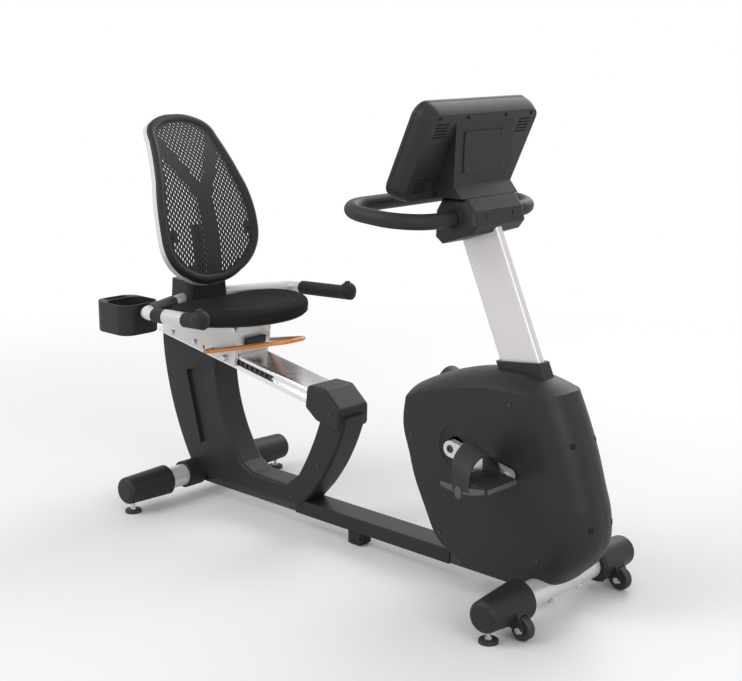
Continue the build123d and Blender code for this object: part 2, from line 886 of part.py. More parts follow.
# Drive frame: the upright, crank shell, mast sleeve and flywheel arms inside the drive cover
upright_x = 479.0
upright_depth = 50.0
upright_half = 20.0
upright_top = 452.0
sleeve_wall = 6.0
sleeve_length = 76.0
beam_head_height = 40.0
head_reach = 96.0
bracket_half = 18.0
arm_plate = 6.0
right_arm_y = -32.0
left_arm_y = 64.0
arm_root_low = 150.0
arm_root_high = 214.0
arm_eye = 20.0
pulley_side_y = pulley_inner_y + pulley_width
with BuildPart() as drive_frame:
    with BuildSketch(side_plane):
        with Locations((upright_x, beam_top)):
            Rectangle(upright_depth, upright_top - beam_top, align=(Align.CENTER, Align.MIN))
        with BuildLine():
            Polyline(
                (upright_x, upright_top),
                (mast_foot_x + head_reach, upright_top),
                (mast_foot_x + head_reach, upright_top - beam_head_height),
                (upright_x, upright_top - beam_head_height),
                close=True,
            )
        make_face()
        with BuildLine():
            Polyline(
                (crank_x, crank_z - bracket_half),
                (upright_x, crank_z - 2 * bracket_half),
                (upright_x, crank_z + bracket_half),
                (crank_x, crank_z + bracket_half),
                close=True,
            )
        make_face()
    extrude(amount=upright_half, both=True)
    with Locations(Location((crank_x, 0, crank_z), (90, 0, 0))):
        Cylinder(bearing_outer_radius + shell_wall, 2 * shell_half)
    with BuildSketch(mast_section_plane.offset(-weld_gap)):
        RectangleRounded(
            mast_thickness + 2 * sleeve_wall,
            mast_depth + 2 * sleeve_wall,
            mast_corner,
        )
    extrude(amount=sleeve_length)
    for plate_y in (right_arm_y, left_arm_y):
        with BuildSketch(Plane(origin=(0, plate_y, 0), x_dir=(1, 0, 0), z_dir=(0, -1, 0))):
            with BuildLine():
                Polyline(
                    (upright_x - upright_depth / 2, arm_root_low),
                    (upright_x + upright_depth / 2, arm_root_low),
                    (flywheel_x, flywheel_z - arm_eye),
                    (flywheel_x, flywheel_z + arm_eye),
                    (upright_x + upright_depth / 2, arm_root_high),
                    (upright_x - upright_depth / 2, arm_root_high),
                    close=True,
                )
            make_face()
            with Locations((flywheel_x, flywheel_z)):
                Circle(arm_eye)
        extrude(amount=-arm_plate)
    with Locations((upright_x, right_arm_y, arm_root_low)):
        Box(
            upright_depth,
            left_arm_y - right_arm_y,
            arm_root_high - arm_root_low,
            align=(Align.CENTER, Align.MIN, Align.MIN),
        )
    with Locations(Location((crank_x, 0, crank_z), (90, 0, 0))):
        Cylinder(bearing_outer_radius + weld_gap / 4, 4 * shell_half, mode=Mode.SUBTRACT)
    with Locations(Location((flywheel_x, 0, flywheel_z), (90, 0, 0))):
        Cylinder(flywheel_axle_radius + weld_gap / 4, 4 * left_arm_y, mode=Mode.SUBTRACT)
    extrude(mast_hole.sketch, amount=2 * mast_above, mode=Mode.SUBTRACT)
save(drive_frame, "drive_frame")


def ring_across(x, z, outer_radius, inner_radius, low_y, high_y):
    """A ring or tube whose axis runs across the bike."""
    with BuildSketch(Plane(origin=(x, low_y, z), x_dir=(1, 0, 0), z_dir=(0, 1, 0))) as ring:
        Circle(outer_radius)
        if inner_radius > 0:
            Circle(inner_radius, mode=Mode.SUBTRACT)
    extrude(ring.sketch, amount=high_y - low_y)


# Crank bearings, one in each end of the crank shell
with BuildPart() as crank_bearings:
    for low in (-shell_half, shell_half - bearing_width):
        high = low + bearing_width
        ring_across(crank_x, crank_z, bearing_outer_radius, axle_radius + running_fit, low, high)
save(crank_bearings, "crank_bearings")

# Crank axle
with BuildPart() as crank_axle:
    ring_across(crank_x, crank_z, axle_radius, 0, -axle_half, axle_half)
    chamfer(crank_axle.edges(), 1)
save(crank_axle, "crank_axle")

# Drive pulley on the axle's left side
pulley_web_inset = 5.0
pulley_windows = 5
pulley_window_radius = 20.8
web_low = pulley_inner_y + pulley_web_inset
web_high = pulley_side_y - pulley_web_inset
with BuildPart() as drive_pulley:
    ring_across(crank_x, crank_z, pulley_radius, pulley_radius - pulley_rim, pulley_inner_y, pulley_side_y)
    ring_across(crank_x, crank_z, pulley_radius - pulley_rim / 2, axle_radius, web_low, web_high)
    ring_across(crank_x, crank_z, pulley_hub_radius, axle_radius, pulley_inner_y, pulley_side_y)
    with Locations(Location((crank_x, (pulley_inner_y + pulley_side_y) / 2, crank_z), (90, 0, 0))):
        with PolarLocations((pulley_radius - pulley_rim + pulley_hub_radius) / 2, pulley_windows):
            Cylinder(pulley_window_radius, 2 * pulley_width, mode=Mode.SUBTRACT)
save(drive_pulley, "drive_pulley")

# Flywheel axle, held in the two arms
axle_overhang = 6.0
axle_low = right_arm_y - axle_overhang
axle_high = left_arm_y + arm_plate + axle_overhang
with BuildPart() as flywheel_axle:
    ring_across(flywheel_x, flywheel_z, flywheel_axle_radius, 0, axle_low, axle_high)
save(flywheel_axle, "flywheel_axle")

# Flywheel with its small belt pulley on one hub
flywheel_rim = 26.0
flywheel_rim_lap = 6.0
web_half = 8.0
flywheel_hub_radius = 18.0
flywheel_half = flywheel_width / 2
flywheel_bore = flywheel_axle_radius + running_fit
flywheel_rim_inside = flywheel_radius - flywheel_rim
web_radius = flywheel_rim_inside + flywheel_rim_lap
with BuildPart() as flywheel:
    ring_across(flywheel_x, flywheel_z, flywheel_radius, flywheel_rim_inside, -flywheel_half, flywheel_half)
    ring_across(flywheel_x, flywheel_z, web_radius, flywheel_bore, -web_half, web_half)
    ring_across(flywheel_x, flywheel_z, flywheel_hub_radius, flywheel_bore, -flywheel_half, pulley_inner_y)
    ring_across(flywheel_x, flywheel_z, small_pulley_radius, flywheel_bore, pulley_inner_y, pulley_side_y)
save(flywheel, "flywheel")

# Drive belt round the two pulleys, just clear of both
belt_plane = Plane(
    origin=(0, (pulley_inner_y + pulley_side_y + belt_width) / 2, 0), x_dir=(1, 0, 0), z_dir=(0, -1, 0)
)
with BuildPart() as drive_belt:
    for grow, mode in ((belt_gap + belt_thickness, Mode.ADD), (belt_gap, Mode.SUBTRACT)):
        with BuildSketch(belt_plane):
            with Locations((crank_x, crank_z)):
                Circle(pulley_radius + grow)
            with Locations((flywheel_x, flywheel_z)):
                Circle(small_pulley_radius + grow)
            make_hull()
        extrude(amount=belt_width, mode=mode)
save(drive_belt, "drive_belt")

# Brake coil under the flywheel, standing on the beam
brake_x = 566.0
brake_length = 74.0
brake_half = 18.0
brake_height = 62.0
brake_air_gap = 2.0
with BuildPart() as brake_coil:
    with Locations((brake_x, 0, beam_top)):
        Box(brake_length, 2 * brake_half, brake_height, align=(Align.CENTER, Align.CENTER, Align.MIN))
    with Locations(Location((flywheel_x, 0, flywheel_z), (90, 0, 0))):
        Cylinder(flywheel_radius + brake_air_gap, 4 * brake_half, mode=Mode.SUBTRACT)
save(brake_coil, "brake_coil")

# Crank arms, opposite each other on the axle
crank_turn = math.radians(crank_drop)
crank_reach = (crank_length * math.cos(crank_turn), -crank_length * math.sin(crank_turn))
with BuildPart() as crank_arms:
    for sign in (-1, 1):
        eye_x = crank_x - sign * crank_reach[0]
        eye_z = crank_z - sign * crank_reach[1]
        arm_y = sign * (arm_inner_y + arm_thickness / 2)
        with BuildSketch(Plane(origin=(0, arm_y, 0), x_dir=(1, 0, 0), z_dir=(0, -1, 0))):
            with Locations((crank_x, crank_z)):
                Circle(arm_boss_radius)
            with Locations((eye_x, eye_z)):
                Circle(arm_eye_radius)
            make_hull()
            with Locations((crank_x, crank_z)):
                Circle(axle_radius, mode=Mode.SUBTRACT)
            with Locations((eye_x, eye_z)):
                Circle(spindle_thread_radius, mode=Mode.SUBTRACT)
        extrude(amount=arm_thickness / 2, both=True)
save(crank_arms, "crank_arms")

# Pedal spindles, screwed into the arms
arm_outer_y = arm_inner_y + arm_thickness
spindle_end_y = pedal_inner_y + pedal_width - 2 * pedal_end_wall
with BuildPart() as pedal_spindles:
    for sign in (-1, 1):
        eye_x = crank_x - sign * crank_reach[0]
        eye_z = crank_z - sign * crank_reach[1]
        for radius, start, end in (
            (spindle_thread_radius, arm_inner_y, arm_outer_y),
            (spindle_collar_radius, arm_outer_y, arm_outer_y + spindle_collar_depth),
            (spindle_radius, arm_outer_y, spindle_end_y),
        ):
            low, high = sorted((sign * start, sign * end))
            ring_across(eye_x, eye_z, radius, 0, low, high)
save(pedal_spindles, "pedal_spindles")

# Pedals: a tapered platform behind its bore, and a strap arched over the toes
pedal_profile = (
    (-pedal_length / 2, pedal_tip_low),
    (-pedal_length / 2, pedal_tip_high),
    (-pedal_length / 4, pedal_height / 2),
    (pedal_length / 4, pedal_height / 2),
    (pedal_length / 2, pedal_tip_high),
    (pedal_length / 2, pedal_tip_low),
    (pedal_length / 4, -pedal_height / 2),
    (-pedal_length / 4, -pedal_height / 2),
)


def strap_section(plane, middle, half, rise):
    """The strap's arch across the toes, cut square at both feet."""
    with BuildSketch(plane) as section:
        for grow, foot, mode in (
            (strap_thickness, strap_foot, Mode.ADD),
            (0, 2 * strap_foot, Mode.SUBTRACT),
        ):
            left = middle - half - grow
            right = middle + half + grow
            with BuildLine():
                Line((left, -foot), (right, -foot))
                Line((right, -foot), (right, strap_shoulder))
                ThreePointArc((right, strap_shoulder), (middle, rise + grow), (left, strap_shoulder))
                Line((left, strap_shoulder), (left, -foot))
            make_face(mode=mode)
    return section.sketch.faces()[0]


for side, sign in (("right", -1), ("left", 1)):
    eye_x = crank_x - sign * crank_reach[0]
    eye_z = crank_z - sign * crank_reach[1]
    tilt = math.radians(pedal_tilt)
    pedal_plane = Plane(
        origin=(eye_x, sign * pedal_inner_y, eye_z),
        x_dir=(math.cos(tilt), 0, math.sin(tilt)),
        z_dir=(0, sign, 0),
    )
    up = -sign
    profile = [(along - pedal_back, up * (rise - pedal_below)) for along, rise in pedal_profile]
    with BuildPart() as pedal:
        with BuildSketch(pedal_plane):
            with BuildLine():
                Polyline(*profile, close=True)
            make_face()
        extrude(amount=pedal_width)
        fillet(pedal.edges().filter_by(Axis.Y), pedal_round)
        with BuildSketch(pedal_plane):
            Circle(spindle_radius + running_fit)
        extrude(amount=pedal_width - pedal_end_wall, mode=Mode.SUBTRACT)
    save(pedal, f"pedal_{side}")
    strap_plane = Plane(
        origin=(eye_x + strap_offset * math.cos(tilt), 0, eye_z + strap_offset * math.sin(tilt)),
        x_dir=(0, 1, 0),
        z_dir=(math.cos(tilt), 0, math.sin(tilt)),
    )
    strap_middle = sign * (pedal_inner_y + pedal_width / 2)
    strap_half = pedal_width / 2 + weld_gap
    strap_ends = (
        (strap_plane.offset(strap_width / 2), strap_rise_front),
        (strap_plane.offset(-strap_width / 2), strap_rise_rear),
    )
    with BuildPart() as strap:
        loft(
            sections=[strap_section(plane, strap_middle, strap_half, rise) for plane, rise in strap_ends],
            ruled=True,
        )
    save(strap, f"strap_{side}")

# Carriage: a channel that straddles the rail and carries the seat
pawl_slot = 3.5
pawl_station = rack_start + pawl_slot * rack_pitch
pawl_point = rail_anchor + rail_dir * pawl_station + rail_up * (-rail_height / 2)
carriage_wall = 6.0
carriage_roof = 10.0
cheek_lift = 9.0
carriage_bolt_points = ((-693.0, 480.0), (-594.0, 466.0), (-420.0, 526.0))
with BuildPart() as carriage:
    with BuildSketch(side_plane):
        with BuildLine():
            Polyline(
                (carriage_rear_x, rail_under_at(carriage_rear_x) + cheek_lift),
                (carriage_heel_x, rail_under_at(carriage_heel_x) + cheek_lift),
                (carriage_front_x, seat_bottom),
                (carriage_rear_x, seat_bottom),
                close=True,
            )
        make_face()
    extrude(amount=carriage_half, both=True)
    extrude(rail_envelope.sketch, amount=rail_front - rail_rear, mode=Mode.SUBTRACT)
    with BuildSketch(side_plane):
        with BuildLine():
            Polyline(
                (carriage_rear_x + carriage_wall, rail_top_at(carriage_rear_x) + carriage_roof),
                (carriage_heel_x, rail_top_at(carriage_heel_x) + carriage_roof),
                (carriage_front_x - 2 * carriage_wall, seat_bottom - carriage_wall),
                (carriage_rear_x + carriage_wall, seat_bottom - carriage_wall),
                close=True,
            )
        make_face()
    extrude(amount=carriage_half - carriage_wall, both=True, mode=Mode.SUBTRACT)
    with Locations(Location((lever_x, 0, lever_z), (90, 0, 0))):
        Cylinder(lever_radius + running_fit, 4 * carriage_half, mode=Mode.SUBTRACT)
    with Locations(Location((pawl_point.X, -carriage_half, pawl_point.Z), (90, 0, 0))):
        Cylinder(pawl_radius + running_fit, carriage_half, mode=Mode.SUBTRACT)
    for bolt_x, bolt_z in carriage_bolt_points:
        for sign in (-1, 1):
            with Locations(Location((bolt_x, sign * carriage_half, bolt_z), (90, 0, 0))):
                Cylinder(bolt_shank_radius + weld_gap, 2 * carriage_wall + 1, mode=Mode.SUBTRACT)
save(carriage, "carriage")

# Latch pawl: a sprung pin that reaches for the rack through the carriage's right cheek
pawl_tip_y = -(rail_width / 2 - groove_depth + rack_thickness + slide_gap)
pawl_knob_y = -(carriage_half + slide_gap)
pawl_knob_depth = 12.0
with BuildPart() as latch_pawl:
    ring_across(pawl_point.X, pawl_point.Z, pawl_radius, 0, pawl_knob_y - 2, pawl_tip_y)
    ring_across(pawl_point.X, pawl_point.Z, pawl_knob_radius, 0, pawl_knob_y - pawl_knob_depth, pawl_knob_y)
    fillet(latch_pawl.edges().group_by(Axis.Y)[0], 2)
save(latch_pawl, "latch_pawl")

# Release lever: a bent bar pivoted in both cheeks, closed in a loop at the front
lever_pin_y = rail_width / 2 + 2 * slide_gap
lever_front = (lever_x + lever_reach, lever_z + lever_rise)
with BuildPart() as release_lever:
    with BuildLine():
        FilletPolyline(
            (lever_x, -lever_pin_y, lever_z),
            (lever_x, -lever_half_rear, lever_z),
            (lever_front[0], -lever_half_front, lever_front[1]),
            (lever_front[0], lever_half_front, lever_front[1]),
            (lever_x, lever_half_rear, lever_z),
            (lever_x, lever_pin_y, lever_z),
            radius=[lever_foot_bend, lever_bend, lever_bend, lever_foot_bend],
        )
    with BuildSketch(Plane(origin=(lever_x, -lever_pin_y, lever_z), z_dir=(0, -1, 0))):
        Circle(lever_radius)
    sweep()
save(release_lever, "release_lever")


def seat_outline(level, inset):
    """The seat's plan: square at the back, a wide bow at the front."""
    half = seat_half - inset
    rear = seat_rear_x + inset
    corner = seat_corner - inset
    with BuildSketch(Plane.XY.offset(level)) as plan:
        with BuildLine():
            Line((rear, -half + corner), (rear, half - corner))
            RadiusArc((rear, half - corner), (rear + corner, half), corner)
            Line((rear + corner, half), (seat_shoulder_x, half))
            ThreePointArc((seat_shoulder_x, half), (seat_front_x - inset, 0), (seat_shoulder_x, -half))
            Line((seat_shoulder_x, -half), (rear + corner, -half))
            RadiusArc((rear + corner, -half), (rear, -half + corner), corner)
        make_face()
    return plan.sketch.faces()[0]


# Seat pan under the cushion
pan_inset = 14.0
with BuildPart() as seat_pan:
    extrude(seat_outline(seat_bottom, pan_inset), amount=pan_thickness)
save(seat_pan, "seat_pan")

# Seat pad: drawn in at the bottom, full at the middle, crowned on top, as heights and insets
pad_gap = 0.3
pad_levels = (
    (seat_top_of_pan + pad_gap, 10.0),
    (seat_top_of_pan + 12.0, 3.0),
    (pad_side_top - 12.0, 0.0),
    (pad_side_top, 8.0),
    (pad_side_top + 4.0, 28.0),
    (pad_crown_top, 55.0),
)
with BuildPart() as seat_pad:
    loft(sections=[seat_outline(level, inset) for level, inset in pad_levels])
save(seat_pad, "seat_pad")

# Back post: the moulded foot behind the cushion and the spine behind the back rest
back_turn = math.radians(back_angle)
back_up = Vector(-math.sin(back_turn), 0, math.cos(back_turn))
back_out = Vector(math.cos(back_turn), 0, math.sin(back_turn))
back_origin = Vector(back_bottom_x, 0, back_bottom_z)
back_plane = Plane(origin=back_origin, x_dir=(0, 1, 0), z_dir=back_out)
shell_back = back_thickness + back_rim_depth
spine_half = 45.0
spine_depth = 12.0
spine_low = 8.0
spine_top = 170.0
spine_knee = 70.0
spine_bite = 10.0
neck_rear_x = -640.0
neck_front_x = -605.0
neck_low = 618.0


def behind_back(up, behind):
    """A side view point, measured up the back rest and straight behind its chord."""
    spot = back_origin + back_up * up - back_out * behind
    return (spot.X, spot.Z)


def behind_bow(up, behind):
    """A side view point, measured up the chord and behind the bowed face."""
    share = 2 * up / back_height - 1
    return behind_back(up, behind - back_bow * (1 - share**2))


def bowed_sheet(front, rear):
    """Side view of a bowed layer of the back rest between two depths behind its face."""
    low = -back_margin
    middle = back_height / 2
    high = back_height + back_margin
    with BuildSketch(side_plane) as layer:
        with BuildLine():
            ThreePointArc(behind_bow(low, front), behind_bow(middle, front), behind_bow(high, front))
            Line(behind_bow(high, front), behind_bow(high, rear))
            ThreePointArc(behind_bow(high, rear), behind_bow(middle, rear), behind_bow(low, rear))
            Line(behind_bow(low, rear), behind_bow(low, front))
        make_face()
    return layer.sketch


with BuildPart() as back_post:
    with BuildSketch(Plane.XY.offset(seat_bottom)):
        with Locations((post_front_x - post_depth / 2, 0)):
            RectangleRounded(post_depth, 2 * post_half_bottom, post_corner)
    with BuildSketch(Plane.XY.offset(post_top)):
        with Locations((post_front_x - post_depth / 2, 0)):
            RectangleRounded(post_depth, 2 * post_half_top, post_corner)
    loft()
    with BuildSketch(side_plane):
        with BuildLine():
            Polyline(
                (neck_front_x, neck_low),
                behind_bow(spine_low, shell_back - spine_bite),
                behind_bow(spine_knee, shell_back - spine_bite),
                behind_bow(spine_top, shell_back - spine_bite),
                behind_bow(spine_top, shell_back + spine_depth),
                behind_bow(spine_knee, shell_back + spine_depth),
                (neck_rear_x, post_top),
                (neck_rear_x, neck_low),
                close=True,
            )
        make_face()
    extrude(amount=spine_half, both=True)
    extrude(
        bowed_sheet(-back_bow, shell_back + weld_gap),
        amount=2 * spine_half,
        both=True,
        mode=Mode.SUBTRACT,
    )
save(back_post, "back_post")

# Side handles: one bent tube each side, welded to the back post's foot
handle_tip = Vector(handle_tip_x, handle_y, handle_tip_z)
handle_bend = Vector(handle_bend_x, handle_y, handle_bend_z)
handle_root = Vector(handle_root_x, handle_root_y, handle_root_z)
with BuildPart() as side_handles:
    with BuildLine():
        FilletPolyline(handle_tip, handle_bend, handle_root, radius=handle_bend_radius)
    with BuildSketch(Plane(origin=handle_tip, z_dir=handle_bend - handle_tip)):
        Circle(handle_radius)
        Circle(handle_radius - handle_wall, mode=Mode.SUBTRACT)
    sweep()
    add(back_post.part, mode=Mode.SUBTRACT)
    mirror(about=Plane.XZ)
save(side_handles, "side_handles")

# Hand grips with a swollen control head, their pulse plates and thumb buttons
grip_dir = (Vector(handle_bend_x, 0, handle_bend_z) - Vector(handle_tip_x, 0, handle_tip_z)).normalized()
grip_up = Vector(-grip_dir.Z, 0, grip_dir.X) * (1 if grip_dir.X > 0 else -1)
grip_overhang = 6.0
grip_head_back = 10.0
grip_head_rise = 6.0
grip_tip = Vector(handle_tip_x, 0, handle_tip_z)
head_centre = grip_tip + grip_dir * grip_head_back + grip_up * grip_head_rise
button_seat = 4.0
button_lift = 2.5
button_clearance = 0.3
button_round = 1.5
plate_stand = 0.4
plate_seat_gap = 0.05
plate_start = 70.0
for side, sign in (("right", -1), ("left", 1)):
    shift = Vector(0, sign * handle_y, 0)
    tip = Vector(handle_tip_x, 0, handle_tip_z) + shift
    head_top = head_centre + shift + grip_up * grip_head_radius
    button_plane = Plane(origin=head_top - grip_up * button_seat, z_dir=grip_up)
    with BuildPart() as grip:
        with BuildSketch(Plane(origin=tip - grip_dir * grip_overhang, z_dir=grip_dir)):
            Circle(grip_radius)
        extrude(amount=grip_length)
        fillet(grip.edges(), 4)
        with Locations(head_centre + shift):
            Sphere(grip_head_radius)
        with BuildSketch(Plane(origin=tip - grip_dir * weld_gap, z_dir=grip_dir)):
            Circle(handle_radius + weld_gap)
        extrude(amount=2 * grip_length, mode=Mode.SUBTRACT)
        with BuildSketch(button_plane):
            Circle(button_radius + button_clearance)
        extrude(amount=2 * grip_head_radius, mode=Mode.SUBTRACT)
        with BuildSketch(Plane(origin=tip + grip_dir * plate_start, x_dir=(0, 1, 0), z_dir=grip_dir)):
            Circle(2 * grip_radius)
            Circle(grip_radius - plate_thickness, mode=Mode.SUBTRACT)
            with Locations((-sign * 2 * grip_radius, 0)):
                Rectangle(4 * grip_radius, 4 * grip_radius, mode=Mode.SUBTRACT)
        extrude(amount=plate_length, mode=Mode.SUBTRACT)
    save(grip, f"grip_{side}")
    with BuildPart() as button:
        with BuildSketch(button_plane.offset(button_lift)):
            Circle(button_radius)
        extrude(amount=button_seat - button_lift + button_rise)
        fillet(button.edges().group_by(Axis.Z)[-1], button_round)
    save(button, f"thumb_button_{side}")

with BuildPart() as pulse_plates:
    for sign in (-1, 1):
        tip = Vector(handle_tip_x, sign * handle_y, handle_tip_z)
        plate_end = tip + grip_dir * (plate_start + weld_gap)
        with BuildSketch(Plane(origin=plate_end, x_dir=(0, 1, 0), z_dir=grip_dir)):
            Circle(grip_radius + plate_stand)
            Circle(grip_radius - plate_thickness + plate_seat_gap, mode=Mode.SUBTRACT)
            with Locations((sign * (weld_gap - 2 * grip_radius), 0)):
                Rectangle(4 * grip_radius, 4 * grip_radius, mode=Mode.SUBTRACT)
        extrude(amount=plate_length - 2 * weld_gap)
save(pulse_plates, "pulse_plates")

# Cup holder: a deep cup and a narrow pocket, with a sleeve round the right handle
pocket_share = 34.0
pocket_width = 70.0
pocket_corner = 6.0
cup_round = 6.0
cup_sleeve_wall = 2.5
cup_sleeve_start = 34.0
cup_sleeve_length = 125.0
right_bend = Vector(handle_bend_x, -handle_y, handle_bend_z)
right_run = (Vector(handle_root_x, -handle_root_y, handle_root_z) - right_bend).normalized()
cup_sleeve_plane = Plane(origin=right_bend + right_run * cup_sleeve_start, z_dir=right_run)
with BuildPart() as cup_holder:
    with BuildSketch(Plane.XY.offset(cup_top - cup_height)):
        with Locations((cup_x, cup_y)):
            RectangleRounded(cup_length, cup_width, cup_corner)
    extrude(amount=cup_height)
    fillet(cup_holder.edges().group_by(Axis.Z)[0], cup_round)
    with BuildSketch(cup_sleeve_plane):
        Circle(handle_radius + cup_sleeve_wall)
    extrude(amount=cup_sleeve_length)
    with BuildSketch(Plane.XY.offset(cup_top - cup_height + cup_wall)):
        with Locations((cup_x + pocket_share / 2, cup_y)):
            RectangleRounded(
                cup_length - pocket_share - 2 * cup_wall,
                cup_width - 2 * cup_wall,
                cup_corner - cup_wall,
            )
        with Locations((cup_x - cup_length / 2 + pocket_share / 2 + cup_wall / 2, cup_y)):
            RectangleRounded(pocket_share - 2 * cup_wall, pocket_width, pocket_corner)
    extrude(amount=cup_height, mode=Mode.SUBTRACT)
    with BuildSketch(cup_sleeve_plane):
        Circle(handle_radius + weld_gap)
    extrude(amount=cup_sleeve_length, mode=Mode.SUBTRACT)
save(cup_holder, "cup_holder")

# Back rest outline: a rounded teardrop, widest below the middle
back_right = (
    ((0.0, 0.0), (55.0, 5.0), (100.0, 24.0)),
    ((100.0, 24.0), (158.0, 74.0), (back_half_widest, 143.0)),
    ((back_half_widest, 143.0), (171.0, 220.0), (152.0, 297.0)),
)
back_shoulder = (back_half_top, 422.0)
back_crown = (84.0, 479.0)


def back_outline():
    """Draws the right half of the back rest's edge and mirrors it."""
    with BuildLine() as edge:
        for arc in back_right:
            ThreePointArc(*arc)
        Line(back_right[-1][-1], back_shoulder)
        ThreePointArc(back_shoulder, (110.0, 456.0), back_crown)
        ThreePointArc(back_crown, (46.0, 495.0), (0.0, back_height))
        mirror(about=Plane.YZ)
    return edge.line


with BuildSketch() as back_face:
    make_face(back_outline().edges())
with BuildSketch() as band:
    Rectangle(2 * band_half_stem, 2 * band_fork, align=(Align.CENTER, Align.CENTER))
    for sign in (-1, 1):
        with BuildLine():
            Polyline(
                (0, band_fork - band_half_arm),
                (sign * band_reach, band_top - band_half_arm),
                (sign * band_reach, band_top + band_half_arm),
                (0, band_fork + 2 * band_half_arm),
                close=True,
            )
        make_face()
with BuildSketch() as net_area:
    offset(back_face.sketch, -back_border)
    add(band.sketch, mode=Mode.SUBTRACT)
net_zones = offset(net_area.sketch, -net_hole_height / 2, mode=Mode.PRIVATE).faces()
net_rows = int(back_height / net_row)
net_columns = int(back_half_widest / net_pitch) + 1
net_points = []
for row in range(net_rows):
    for column in range(-net_columns, net_columns + 1):
        point = ((column + 0.5 * (row % 2)) * net_pitch, row * net_row)
        if any(zone.is_inside((*point, 0)) for zone in net_zones):
            net_points.append(point)

# Back panel: the net and its border in one thin bowed sheet
cut_plane = back_plane.offset(-2 * back_bow)
with BuildPart() as back_panel:
    extrude(bowed_sheet(0, back_thickness), amount=2 * back_half_widest, both=True)
    with BuildSketch(cut_plane):
        add(back_face.sketch)
        with Locations(*net_points):
            Ellipse(net_hole_width / 2, net_hole_height / 2, mode=Mode.SUBTRACT)
    extrude(amount=4 * back_bow, mode=Mode.INTERSECT)
save(back_panel, "back_panel")

# Back shell: the rim behind the panel and the forked rib behind the band
with BuildSketch() as rib_face:
    add(band.sketch)
    add(offset(back_face.sketch, -back_rim_width / 2, mode=Mode.PRIVATE), mode=Mode.INTERSECT)
with BuildPart() as back_shell:
    extrude(bowed_sheet(back_thickness, shell_back), amount=2 * back_half_widest, both=True)
    with BuildSketch(cut_plane):
        add(back_face.sketch)
        add(offset(back_face.sketch, -back_rim_width, mode=Mode.PRIVATE), mode=Mode.SUBTRACT)
        add(rib_face.sketch)
    extrude(amount=4 * back_bow, mode=Mode.INTERSECT)
save(back_shell, "back_shell")

# Latch cover: a small block on the sloping front of the carriage
latch_low = 478.0
latch_high = 500.0
latch_half = 35.0
latch_depth = 15.0


def carriage_face_at(z):
    """Where the carriage's sloping front face stands at a height."""
    foot_z = rail_under_at(carriage_heel_x) + cheek_lift
    share = (z - foot_z) / (seat_bottom - foot_z)
    return carriage_heel_x + share * (carriage_front_x - carriage_heel_x)


with BuildPart() as latch_cover:
    with BuildSketch(side_plane):
        with BuildLine():
            Polyline(
                (carriage_face_at(latch_low), latch_low),
                (carriage_face_at(latch_low) + latch_depth, latch_low),
                (carriage_face_at(latch_high) + latch_depth, latch_high),
                (carriage_face_at(latch_high), latch_high),
                close=True,
            )
        make_face()
    extrude(amount=latch_half, both=True)
    fillet(latch_cover.edges().sort_by(Axis.X)[-4:], 3)
save(latch_cover, "latch_cover")

# Clamp housing at the mast's head, which grips the handlebar
housing_side = (
    (330.0, 866.0),
    (350.0, 852.0),
    (436.0, 880.0),
    (452.0, 900.0),
    (444.0, 935.0),
    (422.0, housing_top),
    (352.0, housing_top),
    (332.0, 930.0),
)
with BuildPart() as clamp_housing:
    with BuildSketch(side_plane):
        with BuildLine():
            Polyline(*housing_side, close=True)
        make_face()
    extrude(amount=housing_half, both=True)
    fillet(clamp_housing.faces().filter_by(Axis.Y).edges(), housing_round)
    extrude(mast_hole.sketch, amount=mast_below + mast_above, mode=Mode.SUBTRACT)
    with Locations(Location((bar_x, 0, bar_z), (90, 0, 0))):
        Cylinder(bar_radius + weld_gap, 4 * housing_half, mode=Mode.SUBTRACT)
save(clamp_housing, "clamp_housing")

# Handlebar: one closed loop of tube, gripped along its front run
bar_turn = math.radians(bar_tilt)
bar_plane = Plane(
    origin=(bar_x, 0, bar_z),
    x_dir=(0, 1, 0),
    z_dir=(math.sin(bar_turn), 0, math.cos(bar_turn)),
)
with BuildPart() as handlebar:
    with BuildLine(bar_plane):
        FilletPolyline((0, 0), (bar_half, 0), (bar_half, bar_reach), (0, bar_reach), radius=bar_corner)
    with BuildSketch(Plane(origin=(bar_x, 0, bar_z), z_dir=(0, 1, 0))):
        Circle(bar_radius)
    sweep()
    mirror(about=Plane.XZ)
save(handlebar, "handlebar")

# Console: a bezel with the display, and a back whose box stands on the clamp housing
console_turn = math.radians(console_tilt)
console_plane = Plane(
    origin=(console_x, 0, console_z),
    x_dir=(0, 1, 0),
    z_dir=(math.cos(console_turn), 0, -math.sin(console_turn)),
)
console_centre = (0, console_height / 2)


def console_sheet(depth, inset):
    """A rounded console section at a depth behind its face."""
    with BuildSketch(console_plane.offset(depth)) as sheet:
        with Locations(console_centre):
            RectangleRounded(
                console_width - 2 * inset,
                console_height - 2 * inset,
                console_corner - min(inset, console_corner / 2),
            )
    return sheet.sketch


with BuildPart() as console_front:
    extrude(console_sheet(0, 0), amount=bezel_depth)
    fillet(console_front.faces().sort_by(Axis.X)[0].outer_wire().edges(), bezel_round)
    extrude(console_sheet(0, screen_margin), amount=screen_thickness, mode=Mode.SUBTRACT)
save(console_front, "console_front")

with BuildPart() as console_screen:
    extrude(console_sheet(0, screen_margin + weld_gap), amount=screen_thickness)
save(console_screen, "console_screen")

